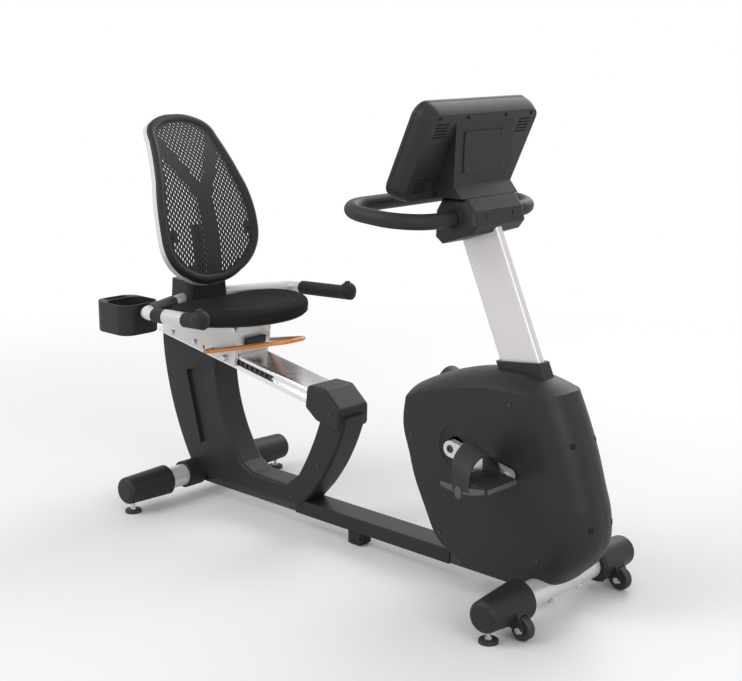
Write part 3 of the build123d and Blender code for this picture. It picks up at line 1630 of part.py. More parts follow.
box_rear = ((401.0, 1140.0), (394.0, 990.0))
box_side = (
    (373.0, 1147.0),
    *box_rear,
    (418.0, housing_top),
    (352.0, housing_top),
    (330.0, 985.0),
    (297.0, 984.0),
)
vent_side = 150.0
vent_rows = (50.0, 190.0)
vent_places = [(sign * vent_side, row) for sign in (-1, 1) for row in vent_rows]
vent_length = 44.0
vent_width = 4.0
vent_pitch = 8.0
vent_count = 5
vent_depth = 2.0
with BuildPart() as console_back:
    loft(
        sections=[
            console_sheet(bezel_depth, 0).faces()[0],
            console_sheet((bezel_depth + console_depth) / 2, console_shrink / 4).faces()[0],
            console_sheet(console_depth, console_shrink).faces()[0],
        ]
    )
    extrude(
        console_sheet(bezel_depth, console_shrink + cover_wall),
        amount=console_depth - bezel_depth - cover_wall,
        mode=Mode.SUBTRACT,
    )
    with BuildSketch(side_plane):
        with BuildLine():
            Polyline(*box_side, close=True)
        make_face()
    extrude(amount=box_half, both=True)
    with BuildSketch(console_plane.offset(console_depth)):
        with Locations(*vent_places):
            with GridLocations(vent_length, vent_pitch, 1, vent_count):
                SlotOverall(vent_length, vent_width)
    extrude(amount=-vent_depth, mode=Mode.SUBTRACT)
save(console_back, "console_back")

box_low = Vector(box_rear[1][0], 0, box_rear[1][1])
box_high = Vector(box_rear[0][0], 0, box_rear[0][1])
box_up = (box_high - box_low).normalized()
panel_plane = Plane(
    origin=(box_low + box_high) / 2, x_dir=(0, 1, 0), z_dir=(box_up.Z, 0, -box_up.X)
)
with BuildPart() as access_panel:
    with BuildSketch(panel_plane):
        RectangleRounded(panel_width, panel_height, panel_corner)
    extrude(amount=panel_thickness)
save(access_panel, "access_panel")

# Frame bolts: two into the front tube and a shouldered axle for each transport wheel
with BuildPart() as frame_bolts:
    for sign in (-1, 1):
        with BuildSketch(tube_bolt_plane(sign)):
            RegularPolygon(bolt_radius, 6)
        extrude(amount=bolt_head)
        with BuildSketch(tube_bolt_plane(sign)):
            Circle(bolt_shank_radius)
        extrude(amount=-2 * tube_wall)
        axle_half_length = fork_half + weld_gap
        inner_y = sign * wheel_y - axle_half_length
        ring_across(wheel_x, wheel_z, wheel_axle_radius, 0, inner_y, inner_y + 2 * axle_half_length)
        for head_y in (inner_y - bolt_head / 2, inner_y + 2 * axle_half_length):
            ring_across(wheel_x, wheel_z, bolt_radius, 0, head_y, head_y + bolt_head / 2)
save(frame_bolts, "frame_bolts")

# Carriage bolts: hexagon heads on both cheeks
with BuildPart() as carriage_bolts:
    for sign in (-1, 1):
        with BuildSketch(Plane(origin=(0, sign * carriage_half, 0), x_dir=(1, 0, 0), z_dir=(0, -1, 0))):
            with Locations(*carriage_bolt_points):
                RegularPolygon(bolt_radius, 6)
        extrude(amount=-sign * bolt_head)
        with BuildSketch(Plane(origin=(0, sign * carriage_half, 0), x_dir=(1, 0, 0), z_dir=(0, -1, 0))):
            with Locations(*carriage_bolt_points):
                Circle(bolt_shank_radius)
        extrude(amount=sign * carriage_wall)
save(carriage_bolts, "carriage_bolts")

# Cover screws: flat heads seated on the two large covers
screw_places = (
    (drive_half, ((252.0, 367.0), (345.0, 137.0), (550.0, 499.0), (640.0, 144.0))),
    (rear_cover_half, ((-540.0, 379.0), (-118.0, 197.0), (-222.0, 82.0))),
    (head_half, ((-56.0, 352.0),)),
)
with BuildPart() as cover_screws:
    for half, points in screw_places:
        for x, z in points:
            for sign in (-1, 1):
                low_y = half if sign > 0 else -half - screw_head
                ring_across(x, z, screw_radius, 0, low_y, low_y + screw_head)
save(cover_screws, "cover_screws")
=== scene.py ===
"""Finishes and dresses a recumbent exercise bike around its fixed frame."""

import json
import math

import bmesh
import bpy
from bpy.props import FloatProperty, FloatVectorProperty, IntProperty, PointerProperty
from mathutils import Matrix, Vector
from mathutils.geometry import delaunay_2d_cdt


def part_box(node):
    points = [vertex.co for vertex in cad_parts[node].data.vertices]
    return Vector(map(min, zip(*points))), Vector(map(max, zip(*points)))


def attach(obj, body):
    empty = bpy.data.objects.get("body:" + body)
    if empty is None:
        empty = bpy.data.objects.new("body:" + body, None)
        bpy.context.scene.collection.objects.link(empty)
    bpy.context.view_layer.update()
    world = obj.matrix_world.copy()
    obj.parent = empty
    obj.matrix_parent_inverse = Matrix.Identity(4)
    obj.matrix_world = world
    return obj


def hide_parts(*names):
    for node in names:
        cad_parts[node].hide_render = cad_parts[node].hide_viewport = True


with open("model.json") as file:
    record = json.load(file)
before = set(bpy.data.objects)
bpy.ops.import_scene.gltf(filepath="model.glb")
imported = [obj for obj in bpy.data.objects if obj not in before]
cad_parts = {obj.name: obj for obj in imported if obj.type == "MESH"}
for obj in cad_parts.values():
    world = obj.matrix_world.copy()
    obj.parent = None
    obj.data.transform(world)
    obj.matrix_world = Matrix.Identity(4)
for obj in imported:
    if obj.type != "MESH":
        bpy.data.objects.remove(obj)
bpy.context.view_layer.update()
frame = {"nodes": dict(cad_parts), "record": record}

bl_info = {
    "name": "Recumbent Bike Dresser",
    "version": (1, 0, 0),
    "blender": (4, 5, 0),
    "location": "View3D > Sidebar > Bike",
    "description": "Adds finishes, soft parts and small fittings to a recumbent exercise bike",
    "category": "Object",
}

SHARP_ANGLE = math.radians(40.0)
made = {}


def size(label, text, default):
    """A length that a user may change, in metres."""
    return FloatProperty(name=label, description=text, default=default, unit="LENGTH", precision=4)


def tint(label, text, default):
    """A colour that a user may change."""
    return FloatVectorProperty(
        name=label, description=text, default=default, subtype="COLOR", size=3, min=0.0, max=1.0
    )


class BikeFinishes(bpy.types.PropertyGroup):
    """Colours of the bike's surfaces."""

    moulding: tint("Moulding", "Black moulded covers", (0.019, 0.019, 0.0195))
    silver: tint("Silver paint", "Painted tubes, plates and the mast", (0.66, 0.64, 0.63))
    rail: tint("Rail", "Bare aluminium rail", (0.80, 0.80, 0.81))
    steel: tint("Steel", "Bolts, spindles and plates", (0.62, 0.62, 0.63))
    lever: tint("Lever", "Orange release lever", (0.62, 0.215, 0.035))
    vinyl: tint("Seat cover", "Grained cover of the cushion", (0.020, 0.020, 0.0205))
    foam: tint("Foam", "Hand grips and handlebar", (0.021, 0.021, 0.0215))
    net: tint("Net", "Moulded back net and its border", (0.018, 0.018, 0.0185))
    rubber: tint("Rubber", "Feet, straps and belt", (0.020, 0.020, 0.020))
    pedal_band: tint("Pedal band", "Grey band on the outside of a pedal", (0.085, 0.085, 0.085))
    floor: tint("Floor", "Pale studio floor", (0.86, 0.86, 0.86))


class BikeSizes(bpy.types.PropertyGroup):
    """Sizes of the pieces that are made here."""

    seat_corner: size("Seat corner", "Corner radius at the back of the seat", 0.110)
    seat_shoulder: size("Seat shoulder", "Where the seat's sides turn into its bow", -0.460)
    seat_swell: size("Seat swell", "Most that the cushion may swell", 0.002)
    crease_inset: size("Crease inset", "How far the seat's crease lies inside its edge", 0.050)
    crease_depth: size("Crease depth", "Depth of the seat's crease", 0.0035)
    net_pitch: size("Net pitch", "Distance between holes along a row", 0.0150)
    net_row: size("Net row", "Distance between rows of holes", 0.0085)
    net_hole_width: size("Net hole width", "Width of one oval hole", 0.0061)
    net_hole_height: size("Net hole height", "Height of one oval hole", 0.0112)
    net_thickness: size("Net thickness", "Thickness of the moulded net", 0.0040)
    border_width: size("Border width", "Width of the padded border round the net", 0.024)
    border_rise: size("Border rise", "How far the border stands in front of the net", 0.006)
    tread_ribs: IntProperty(name="Tread ribs", description="Grip ribs on a pedal", default=7, min=2, max=20)


class Shade:
    """A shader value that adds its own Math nodes when it is used in an expression."""

    def __init__(self, finish, socket):
        self.finish = finish
        self.socket = socket

    def join(self, operation, other, swapped=False):
        """Joins this value and another with one Math node."""
        first, second = (other, self) if swapped else (self, other)
        return self.finish.node("ShaderNodeMath", {"operation": operation}, {0: first, 1: second})

    def __add__(self, other):
        return self.join("ADD", other)

    __radd__ = __add__

    def __sub__(self, other):
        return self.join("SUBTRACT", other)

    def __rsub__(self, other):
        return self.join("SUBTRACT", other, swapped=True)

    def __mul__(self, other):
        return self.join("MULTIPLY", other)

    __rmul__ = __mul__

    def __gt__(self, other):
        return self.join("GREATER_THAN", other)

    def __lt__(self, other):
        return self.join("LESS_THAN", other)


class Graph:
    """The nodes of a material or of the surroundings."""

    def __init__(self, tree):
        self.tree = tree

    def put(self, target, sockets):
        """Sets or links a node's sockets."""
        for key, value in sockets.items():
            if isinstance(value, Shade):
                self.tree.links.new(value.socket, target.inputs[key])
            else:
                target.inputs[key].default_value = value

    def node(self, kind, settings=None, sockets=None, output=0):
        """Adds any node: its settings first, then its sockets, and gives one output."""
        added = self.tree.nodes.new(kind)
        for key, value in (settings or {}).items():
            setattr(added, key, value)
        self.put(added, sockets or {})
        return Shade(self, added.outputs[output])

    def seen(self):
        """One where a surface is seen straight, mirrored or through glass, and nought elsewhere."""
        hidden = 1.0
        for ray in ("Is Camera Ray", "Is Glossy Ray", "Is Transmission Ray"):
            hidden = hidden * (1.0 - self.node("ShaderNodeLightPath", output=ray))
        return 1.0 - hidden


class Finish(Graph):
    """One procedural material, with a Principled surface and the nodes that feed it."""

    def __init__(self, name, **constants):
        self.material = bpy.data.materials.new(name)
        self.material.use_nodes = True
        super().__init__(self.material.node_tree)
        self.surface = self.tree.nodes["Principled BSDF"]
        for socket, value in constants.items():
            self.surface.inputs[socket.replace("_", " ")].default_value = value
        self.place = self.node("ShaderNodeTexCoord", output="Object")

    def feed(self, **sockets):
        """Feeds the surface's own sockets, and gives the material."""
        self.put(self.surface, {key.replace("_", " "): value for key, value in sockets.items()})
        return self.material

    def noise(self, scale, detail=2.0, stretch=(1.0, 1.0, 1.0)):
        """Cloudy or streaky variation from 0 to 1."""
        placed = self.node("ShaderNodeMapping", None, {"Vector": self.place, "Scale": stretch})
        sockets = {"Vector": placed, "Scale": scale, "Detail": detail}
        return self.node("ShaderNodeTexNoise", None, sockets)

    def axis(self, name):
        """One coordinate of the surface point, in metres."""
        return self.node("ShaderNodeSeparateXYZ", None, {0: self.place}, name)

    def bars(self, value, pitch, gap):
        """One on evenly spaced bars, and nought in the gaps between them."""
        return self.node("ShaderNodeMath", {"operation": "PINGPONG"}, {0: value, 1: pitch}) > gap

    def mix(self, mask, first, second):
        """Mixes two colours."""
        sockets = {0: mask, 6: colour(first), 7: colour(second)}
        return self.node("ShaderNodeMix", {"data_type": "RGBA"}, sockets, 2)

    def soft_edge(self, radius):
        """A normal that rounds sharp edges."""
        return self.node("ShaderNodeBevel", {"samples": 4}, {"Radius": radius})

    def edge_highlight(self, soft):
        """A mask that is bright along sharp edges, where a painted highlight is mixed into the colour."""
        facing = self.node("ShaderNodeNewGeometry", output="Normal")
        settings = {"operation": "DOT_PRODUCT"}
        level = self.node("ShaderNodeVectorMath", settings, {0: soft, 1: facing}, "Value")
        return 1.0 - level

    def bump(self, height, distance, strength, soft=None):
        """A bump of a real depth, over rounded edges where they are given."""
        sockets = {"Height": height, "Distance": distance, "Strength": strength}
        if soft is not None:
            sockets["Normal"] = soft
        return self.node("ShaderNodeBump", None, sockets)


def colour(value):
    """A colour with its alpha, or a linked value as it is."""
    return value if isinstance(value, Shade) else (*value[:3], 1.0)


def toned(value, share):
    """A colour made darker or lighter."""
    return tuple(min(1.0, channel * share) for channel in value)


def moulded(name, base, grain=1100.0, depth=0.00010, rough=(0.36, 0.50), edge=0.0014):
    """Moulded plastic with a fine spark grain, cloudy gloss and a painted highlight that makes its sharp
    edges paler.
    """
    finish = Finish(name, Specular_IOR_Level=0.26)
    cloud = finish.noise(7.0, 3.0)
    soft = finish.soft_edge(edge)
    tone = finish.mix(cloud, toned(base, 0.88), toned(base, 1.12))
    # Painted highlight: the colour is made paler along sharp edges, where rounded edges would catch the
    # light.
    highlit_edges = finish.mix(finish.edge_highlight(soft) * 0.9, tone, toned(base, 2.4))
    grit = finish.noise(grain)
    return finish.feed(
        Base_Color=highlit_edges,
        Roughness=rough[0] + (rough[1] - rough[0]) * cloud + 0.05 * grit,
        Normal=finish.bump(grit, depth, 0.5, soft),
    )


def painted(name, base, metallic=0.35, rough=0.30, coat=0.25):
    """Metallic paint with fine flakes under a clear coat."""
    finish = Finish(name, Metallic=metallic, Coat_Weight=coat, Coat_Roughness=0.15)
    flake = finish.noise(5200.0, 1.0)
    cloud = finish.noise(5.0)
    soft = finish.soft_edge(0.0012)
    tone = finish.mix(0.7 * flake + 0.3 * cloud, toned(base, 0.93), toned(base, 1.06))
    peel = finish.noise(420.0, 1.0)
    return finish.feed(
        Base_Color=tone,
        Roughness=rough + 0.08 * cloud,
        Normal=finish.bump(peel, 0.00002, 0.3, soft),
    )


def brushed(name, base, rough=(0.14, 0.30), along=(0.02, 1.0, 1.0), streak=900.0):
    """Bare metal with drawn lines along one direction."""
    finish = Finish(name, Metallic=1.0)
    lines = finish.noise(streak, 3.0, along)
    cloud = finish.noise(14.0)
    soft = finish.soft_edge(0.0010)
    return finish.feed(
        Base_Color=finish.mix(lines, toned(base, 0.86), toned(base, 1.05)),
        Roughness=rough[0] + (rough[1] - rough[0]) * lines + 0.06 * cloud,
        Normal=finish.bump(lines, 0.00003, 0.25, soft),
    )


def rubbery(name, base, rough=(0.58, 0.76), grain=760.0, depth=0.00022):
    """Rubber or skinned foam with a soft pitted grain and a painted highlight along its sharp edges."""
    finish = Finish(name, Specular_IOR_Level=0.22)
    pits = finish.noise(grain, 3.0)
    cloud = finish.noise(16.0)
    soft = finish.soft_edge(0.0016)
    # Painted highlight: the colour is made paler along sharp edges.
    edge_highlit = finish.mix(finish.edge_highlight(soft) * 0.6, base, toned(base, 2.0))
    return finish.feed(
        Base_Color=finish.mix(0.35 * cloud, edge_highlit, toned(base, 1.5)),
        Roughness=rough[0] + (rough[1] - rough[0]) * pits,
        Normal=finish.bump(pits, depth, 0.6, soft),
    )


def grained_vinyl(name, base):
    """Dull upholstery vinyl with leather like cells."""
    finish = Finish(name, Specular_IOR_Level=0.005)
    grain = {"Vector": finish.place, "Scale": 620.0}
    cell = finish.node("ShaderNodeTexVoronoi", {"feature": "SMOOTH_F1"}, grain)
    pore = finish.noise(2400.0)
    cloud = finish.noise(11.0, 3.0)
    height = 0.8 * cell + 0.2 * pore
    return finish.feed(
        Base_Color=finish.mix(0.6 * cell + 0.4 * cloud, toned(base, 0.80), toned(base, 1.30)),
        Roughness=0.40 + 0.10 * cloud + 0.08 * cell,
        Normal=finish.bump(height, 0.00030, 0.55),
    )


DISPLAY_HALF = 0.112
DISPLAY_BASE = 1.045
DISPLAY_LEVEL = 1.075
DISPLAY_WAVE = 0.030


def display_glass(name):
    """A dark display window with rows of small lit bars."""
    finish = Finish(name, Roughness=0.08, Coat_Weight=0.5, Coat_Roughness=0.04)
    across = finish.axis("Y")
    height = finish.axis("Z")
    column = finish.bars(across, 0.007, 0.0028)
    row = finish.bars(height, 0.0035, 0.0013)
    profile = DISPLAY_LEVEL + DISPLAY_WAVE * finish.noise(26.0, 0.0, (0.0, 1.0, 0.0))
    window = finish.node("ShaderNodeMath", {"operation": "ABSOLUTE"}, {0: across}) < DISPLAY_HALF
    lit = column * row * (height < profile) * (height > DISPLAY_BASE) * window
    smear = finish.noise(30.0, 3.0)
    return finish.feed(
        Base_Color=finish.mix(0.5 * smear, (0.012, 0.013, 0.015), (0.022, 0.023, 0.026)),
        Emission_Color=finish.mix(lit, (0.0, 0.0, 0.0), (0.75, 0.28, 0.05)),
        Emission_Strength=1.0,
    )


def levelling_foot(name, rubber, steel, pad_top):
    """Rubber below the pad's top face and bright plated steel above it."""
    finish = Finish(name)
    stud = finish.axis("Z") > pad_top
    turns = {0: finish.place, "Scale": 210.0}
    thread = finish.node("ShaderNodeTexWave", {"bands_direction": "Z"}, turns, "Fac")
    pits = finish.noise(700.0)
    return finish.feed(
        Base_Color=finish.mix(stud, toned(rubber, 0.9), steel),
        Metallic=stud,
        Roughness=0.62 - 0.36 * stud + 0.10 * pits,
        Normal=finish.bump(thread * stud + pits * (1.0 - stud), 0.00040, 0.5),
    )


def caster(name, base, hub, centre, hub_radius):
    """A dark tyre round a pale hub, both turned about one axle."""
    finish = Finish(name)
    ahead = finish.axis("X") - centre[0]
    above = finish.axis("Z") - centre[1]
    on_hub = (ahead * ahead + above * above) < hub_radius * hub_radius
    pits = finish.noise(900.0)
    soft = finish.soft_edge(0.0010)
    return finish.feed(
        Base_Color=finish.mix(on_hub, finish.mix(pits, toned(base, 0.8), toned(base, 1.3)), hub),
        Roughness=0.50 - 0.22 * on_hub + 0.12 * pits,
        Metallic=0.9 * on_hub,
        Normal=finish.bump(pits, 0.00010, 0.4, soft),
    )


def arc_points(start, through, end, steps):
    """Points along the arc through three flat points, without the last one."""
    a, b, c = (Vector(p).to_2d() for p in (start, through, end))
    turn = 2.0 * ((b - a).x * (c - a).y - (b - a).y * (c - a).x)
    ab, ac = (b - a), (c - a)
    centre = a + Vector((
        (ac.y * ab.length_squared - ab.y * ac.length_squared) / turn,
        (ab.x * ac.length_squared - ac.x * ab.length_squared) / turn,
    ))
    first = math.atan2(a.y - centre.y, a.x - centre.x)
    sweep = math.atan2(c.y - centre.y, c.x - centre.x) - first
    if turn > 0 and sweep < 0:
        sweep += math.tau
    if turn < 0 and sweep > 0:
        sweep -= math.tau
    radius = (a - centre).length
    angles = (first + sweep * i / steps for i in range(steps))
    return [centre + radius * Vector((math.cos(t), math.sin(t))) for t in angles]


def line_points(start, end, steps):
    """Points along a flat line, without the last one."""
    a, b = Vector(start), Vector(end)
    return [a.lerp(b, i / steps) for i in range(steps)]


def drawn_in(points, inset):
    """A closed flat outline moved inwards by an inset, for one that runs anticlockwise."""
    count = len(points)
    moved = []
    for i, point in enumerate(points):
        along = (points[(i + 1) % count] - points[i - 1]).normalized()
        moved.append(point + inset * Vector((-along.y, along.x)))
    return moved


def evenly(points, count):
    """A closed flat outline resampled to equal steps."""
    loop = points + points[:1]
    lengths = [0.0]
    for a, b in zip(loop, loop[1:]):
        lengths.append(lengths[-1] + (b - a).length)
    spaced = []
    at = 0
    for i in range(count):
        target = lengths[-1] * i / count
        while lengths[at + 1] < target:
            at += 1
        share = (target - lengths[at]) / max(1e-9, lengths[at + 1] - lengths[at])
        spaced.append(loop[at].lerp(loop[at + 1], share))
    return spaced


def linked(name, data):
    """Puts a mesh, a light or a camera into the scene."""
    item = bpy.data.objects.new(name, data)
    bpy.context.scene.collection.objects.link(item)
    return item


def piece(name, mesh, body, slot, look=None, replaces=()):
    """Links a finished mesh as a piece that rides on a body, in its slot's look or another one."""
    fixed = bmesh.new()
    fixed.from_mesh(mesh)
    bmesh.ops.recalc_face_normals(fixed, faces=fixed.faces)
    fixed.to_mesh(mesh)
    fixed.free()
    item = linked(name, mesh)
    mesh.materials.clear()
    mesh.materials.append(made[look or slot])
    mesh.shade_smooth()
    mesh.set_sharp_from_angle(angle=SHARP_ANGLE)
    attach(item, body)
    if replaces:
        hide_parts(*replaces)
    return item


def apply_modifiers(item):
    """Turns an object's modifiers into its mesh."""
    bpy.context.view_layer.update()
    graph = bpy.context.evaluated_depsgraph_get()
    solid = bpy.data.meshes.new_from_object(item.evaluated_get(graph))
    item.modifiers.clear()
    old = item.data
    item.data = solid
    bpy.data.meshes.remove(old)


class Bench:
    """Collects small solids in one mesh, each placed by its own frame."""

    def __init__(self):
        self.shape = bmesh.new()

    def skin(self, rings, closed=False):
        """Joins rings of points, and caps both ends unless the last ring joins the first."""
        corners = [[self.shape.verts.new(point) for point in ring] for ring in rings]
        following = corners[1:] + corners[:1] if closed else corners[1:]
        count = len(rings[0])
        for low, high in zip(corners, following):
            for i in range(count):
                j = (i + 1) % count
                self.shape.faces.new((low[i], low[j], high[j], high[i]))
        if not closed:
            self.shape.faces.new(list(reversed(corners[0])))
            self.shape.faces.new(corners[-1])

    def turned(self, profile, place, sides):
        """Rings for a profile of (radius, height) points about the frame's Z axis."""
        angles = [math.tau * i / sides for i in range(sides)]
        rings = []
        for radius, height in profile:
            spots = [Vector((radius * math.cos(t), radius * math.sin(t), height)) for t in angles]
            rings.append([place @ spot for spot in spots])
        return rings

    def add(self, profile, place, sides=24):
        """Adds a solid turned from a profile."""
        self.skin(self.turned(profile, place, sides))

    def add_ring(self, profile, place, sides=72):
        """Adds a ring turned from a profile that closes on itself."""
        self.skin(self.turned(profile, place, sides), closed=True)

    def add_slab(self, outline, place, depth, edge):
        """Raises a flat outline along the frame's Z axis, with a rounded top edge."""
        levels = ((0.0, 0.0), (depth - edge, 0.0), (depth - 0.3 * edge, 0.3 * edge), (depth, edge))
        rings = []
        for height, inset in levels:
            rings.append([place @ Vector((p.x, p.y, height)) for p in drawn_in(outline, inset)])
        self.skin(rings)

    def mesh(self, name):
        """Gives the collected mesh."""
        mesh = bpy.data.meshes.new(name)
        self.shape.to_mesh(mesh)
        self.shape.free()
        return mesh

    def piece(self, name, body, slot, look=None):
        """Makes the collected mesh a piece."""
        piece(name, self.mesh(name), body, slot, look)


def frame_at(origin, out, along=(0.0, 1.0, 0.0)):
    """A placing matrix whose Z axis points out of a surface and whose X axis runs along it."""
    z = Vector(out).normalized()
    x = (Vector(along) - Vector(along).dot(z) * z).normalized()
    y = z.cross(x)
    turned = Matrix((x, y, z)).transposed().to_4x4()
    return Matrix.Translation(Vector(origin)) @ turned


def rounded_outline(width, height, corner, steps=6):
    """A flat rounded rectangle about the origin, anticlockwise."""
    points = []
    for turn, (sx, sy) in enumerate(((1, 1), (-1, 1), (-1, -1), (1, -1))):
        centre = Vector((sx * (width / 2 - corner), sy * (height / 2 - corner)))
        for i in range(steps + 1):
            t = math.pi / 2 * (turn + i / steps)
            points.append(centre + corner * Vector((math.cos(t), math.sin(t))))
    return points


def seat_on(node, origin, direction):
    """Where a straight line from a point first meets a node, and the way the surface faces there."""
    item = frame["nodes"][node]
    turned = item.matrix_world.inverted()
    start = turned @ Vector(origin)
    hit, spot, normal, _ = item.ray_cast(start, (turned.to_3x3() @ Vector(direction)).normalized())
    if not hit:
        raise RuntimeError(f"no surface of {node} was met")
    return item.matrix_world @ spot, item.matrix_world.to_3x3() @ normal


AHEAD = (1.0, 0.0, 0.0)
SIDES = (-1.0, 1.0)
FOOT_TOP = 0.0092
HUB_RADIUS = 0.0105


class BIKE_OT_finish_frame(bpy.types.Operator):
    """Gives every piece of the frame its procedural finish"""

    bl_idname = "bike.finish_frame"
    bl_label = "Finish the Frame"

    def execute(self, context):
        look = context.scene.bike_finishes
        wheel_low, wheel_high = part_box("transport_wheel_right")
        wheel_axis = ((wheel_low.x + wheel_high.x) / 2, (wheel_low.z + wheel_high.z) / 2)
        recipes = (
            ("black_moulding", moulded, look.moulding),
            ("silver_moulding", painted, look.silver, 0.20, 0.34, 0.15),
            ("black_paint", painted, toned(look.moulding, 0.7), 0.0, 0.34, 0.2),
            ("silver_paint", painted, look.silver),
            ("crank_metal", painted, toned(look.silver, 0.95), 0.55, 0.26, 0.3),
            ("orange_paint", painted, look.lever, 0.10, 0.28, 0.5),
            ("rail_metal", brushed, look.rail),
            ("steel", brushed, look.steel, (0.18, 0.34), (1.0, 1.0, 0.05), 1500.0),
            ("iron", brushed, toned(look.steel, 0.4), (0.30, 0.46), (1.0, 0.05, 1.0), 700.0),
            ("belt_rubber", rubbery, look.rubber),
            ("strap_rubber", rubbery, toned(look.rubber, 1.5), (0.46, 0.60), 520.0, 0.0001),
            ("grip_foam", rubbery, look.foam),
            ("bar_foam", rubbery, look.foam, (0.44, 0.58), 620.0, 0.00012),
            ("pedal_plastic", moulded, look.moulding, 700.0, 0.00016, (0.46, 0.60)),
            ("button_plastic", moulded, toned(look.moulding, 2.0)),
            ("net_plastic", moulded, look.net, 1500.0, 0.00006, (0.40, 0.52), 0.0010),
            ("seat_cover", grained_vinyl, look.vinyl),
            ("screen", display_glass),
            ("foot_rubber", levelling_foot, look.rubber, look.steel, FOOT_TOP),
            ("wheel_plastic", caster, look.rubber, look.rail, wheel_axis, HUB_RADIUS),
            ("pedal_band", moulded, look.pedal_band, 900.0, 0.00012, (0.42, 0.56)),
            # A near-black for thin slabs laid in slots, sockets and screw holes: painted shade of their
            # hollows.
            ("dark_slot", moulded, toned(look.moulding, 0.18), 900.0, 0.00005, (0.6, 0.7)),
        )
        for name, recipe, *settings in recipes:
            made[name] = recipe(name, *settings)
        for entry in frame["record"]["subparts"]:
            self.dress(entry["node"], entry["material_slot"])
        self.dress("middle_foot", "belt_rubber")
        return {"FINISHED"}

    def dress(self, node, look):
        """Gives one node of the frame its look."""
        materials = frame["nodes"][node].data.materials
        materials.clear()
        materials.append(made[look])


def seat_outline(sizes, inset):
    """The seat's plan, square at the back and bowed at the front, anticlockwise from above."""
    low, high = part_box("seat_pad")
    rear, front, half = low.x + inset, high.x - inset, high.y - inset
    corner = max(0.004, sizes.seat_corner - inset)
    shoulder = sizes.seat_shoulder
    turn = corner * (1 - math.sqrt(0.5))
    points = line_points((shoulder, half), (rear + corner, half), 8)
    points += arc_points((rear + corner, half), (rear + turn, half - turn), (rear, half - corner), 8)
    points += line_points((rear, half - corner), (rear, corner - half), 16)
    points += arc_points((rear, corner - half), (rear + turn, turn - half), (rear + corner, -half), 8)
    points += line_points((rear + corner, -half), (shoulder, -half), 8)
    points += arc_points((shoulder, -half), (front, 0.0), (shoulder, half), 48)
    return evenly(points, 128)


CUSHION_VOXEL = 0.006
CUSHION_FRAMES = 20
CUSHION_CLOTH = {
    "use_pressure": True,
    "uniform_pressure_force": 4.0,
    "tension_stiffness": 18.0,
    "compression_stiffness": 18.0,
    "bending_stiffness": 1.2,
}


def puffed(item, limit):
    """Swells a closed mesh as filled cloth, and caps how far each point may move."""
    scene = bpy.context.scene
    remesh = item.modifiers.new("even", "REMESH")
    remesh.mode = "VOXEL"
    remesh.voxel_size = CUSHION_VOXEL
    apply_modifiers(item)
    start = [vertex.co.copy() for vertex in item.data.vertices]
    cloth = item.modifiers.new("filling", "CLOTH")
    for key, value in CUSHION_CLOTH.items():
        setattr(cloth.settings, key, value)
    cloth.settings.effector_weights.gravity = 0.0
    cloth.collision_settings.use_collision = False
    cloth.point_cache.frame_start = 1
    cloth.point_cache.frame_end = CUSHION_FRAMES
    for number in range(1, CUSHION_FRAMES + 1):
        scene.frame_set(number)
    apply_modifiers(item)
    scene.frame_set(1)
    for vertex, origin in zip(item.data.vertices, start):
        moved = vertex.co - origin
        if moved.length > limit:
            vertex.co = origin + moved.normalized() * limit


SEAT_LEVELS = (
    (0.0005, 0.012), (0.0030, 0.007), (0.0090, 0.004), (0.0190, 0.003),
    (0.0260, 0.004), (0.0305, 0.008), (0.0330, 0.015), (0.0342, 0.026),
    (0.0340, 0.042), (0.0318, 0.065), (0.0292, 0.088), (0.0280, 0.104),
)
CREASE_HALF = 0.006
CREASE_REACH = 0.020
CREASE_START = -0.52
CREASE_FADE = 0.10
WELT_INSET = 0.0095
WELT_RADIUS = 0.0028
WELT_ABOVE = 0.0026
WELT_SIDES = 10


class BIKE_OT_seat_cushion(bpy.types.Operator):
    """Makes the upholstered seat with its crown, crease and piping"""

    bl_idname = "bike.seat_cushion"
    bl_label = "Seat Cushion"

    def execute(self, context):
        sizes = context.scene.bike_sizes
        low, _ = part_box("seat_pad")
        rings = []
        for up, inset in SEAT_LEVELS:
            lifted = Vector((0.0, 0.0, low.z + up))
            rings.append([p.to_3d() + lifted for p in seat_outline(sizes, inset)])
        form = Bench()
        form.skin(rings)
        item = linked("seat_cushion", form.mesh("seat_cushion"))
        puffed(item, sizes.seat_swell)
        self.press_crease(item, sizes)
        smooth = item.modifiers.new("smooth", "SUBSURF")
        smooth.levels = 1
        apply_modifiers(item)
        finished = item.data.copy()
        bpy.data.objects.remove(item)
        cushion = piece("seat_cushion", finished, "seat", "seat_cover", replaces=("seat_pad",))
        self.add_piping(sizes, low.z)
        return {"FINISHED"}

    def press_crease(self, item, sizes):
        """Presses the sewn crease into the top, parallel to the edge."""
        line = seat_outline(sizes, sizes.crease_inset)
        top = max(vertex.co.z for vertex in item.data.vertices)
        for vertex in item.data.vertices:
            if vertex.co.z < top - CREASE_REACH:
                continue
            flat = vertex.co.to_2d()
            away = min((flat - p).length for p in line)
            front = max(0.0, min(1.0, (vertex.co.x - CREASE_START) / CREASE_FADE))
            vertex.co.z -= sizes.crease_depth * front * math.exp(-(away / CREASE_HALF) ** 2)

    def add_piping(self, sizes, base):
        """A thin welt where the cover meets the pan."""
        rings = []
        outline = seat_outline(sizes, WELT_INSET)
        for i in range(WELT_SIDES):
            t = math.tau * i / WELT_SIDES
            out = WELT_RADIUS * math.cos(t)
            lifted = Vector((0.0, 0.0, base + WELT_ABOVE + WELT_RADIUS * math.sin(t)))
            rings.append([p.to_3d() + lifted for p in drawn_in(outline, -out)])
        welt = Bench()
        welt.skin(rings, closed=True)
        welt.piece("seat_welt", "seat", "seat_cover")


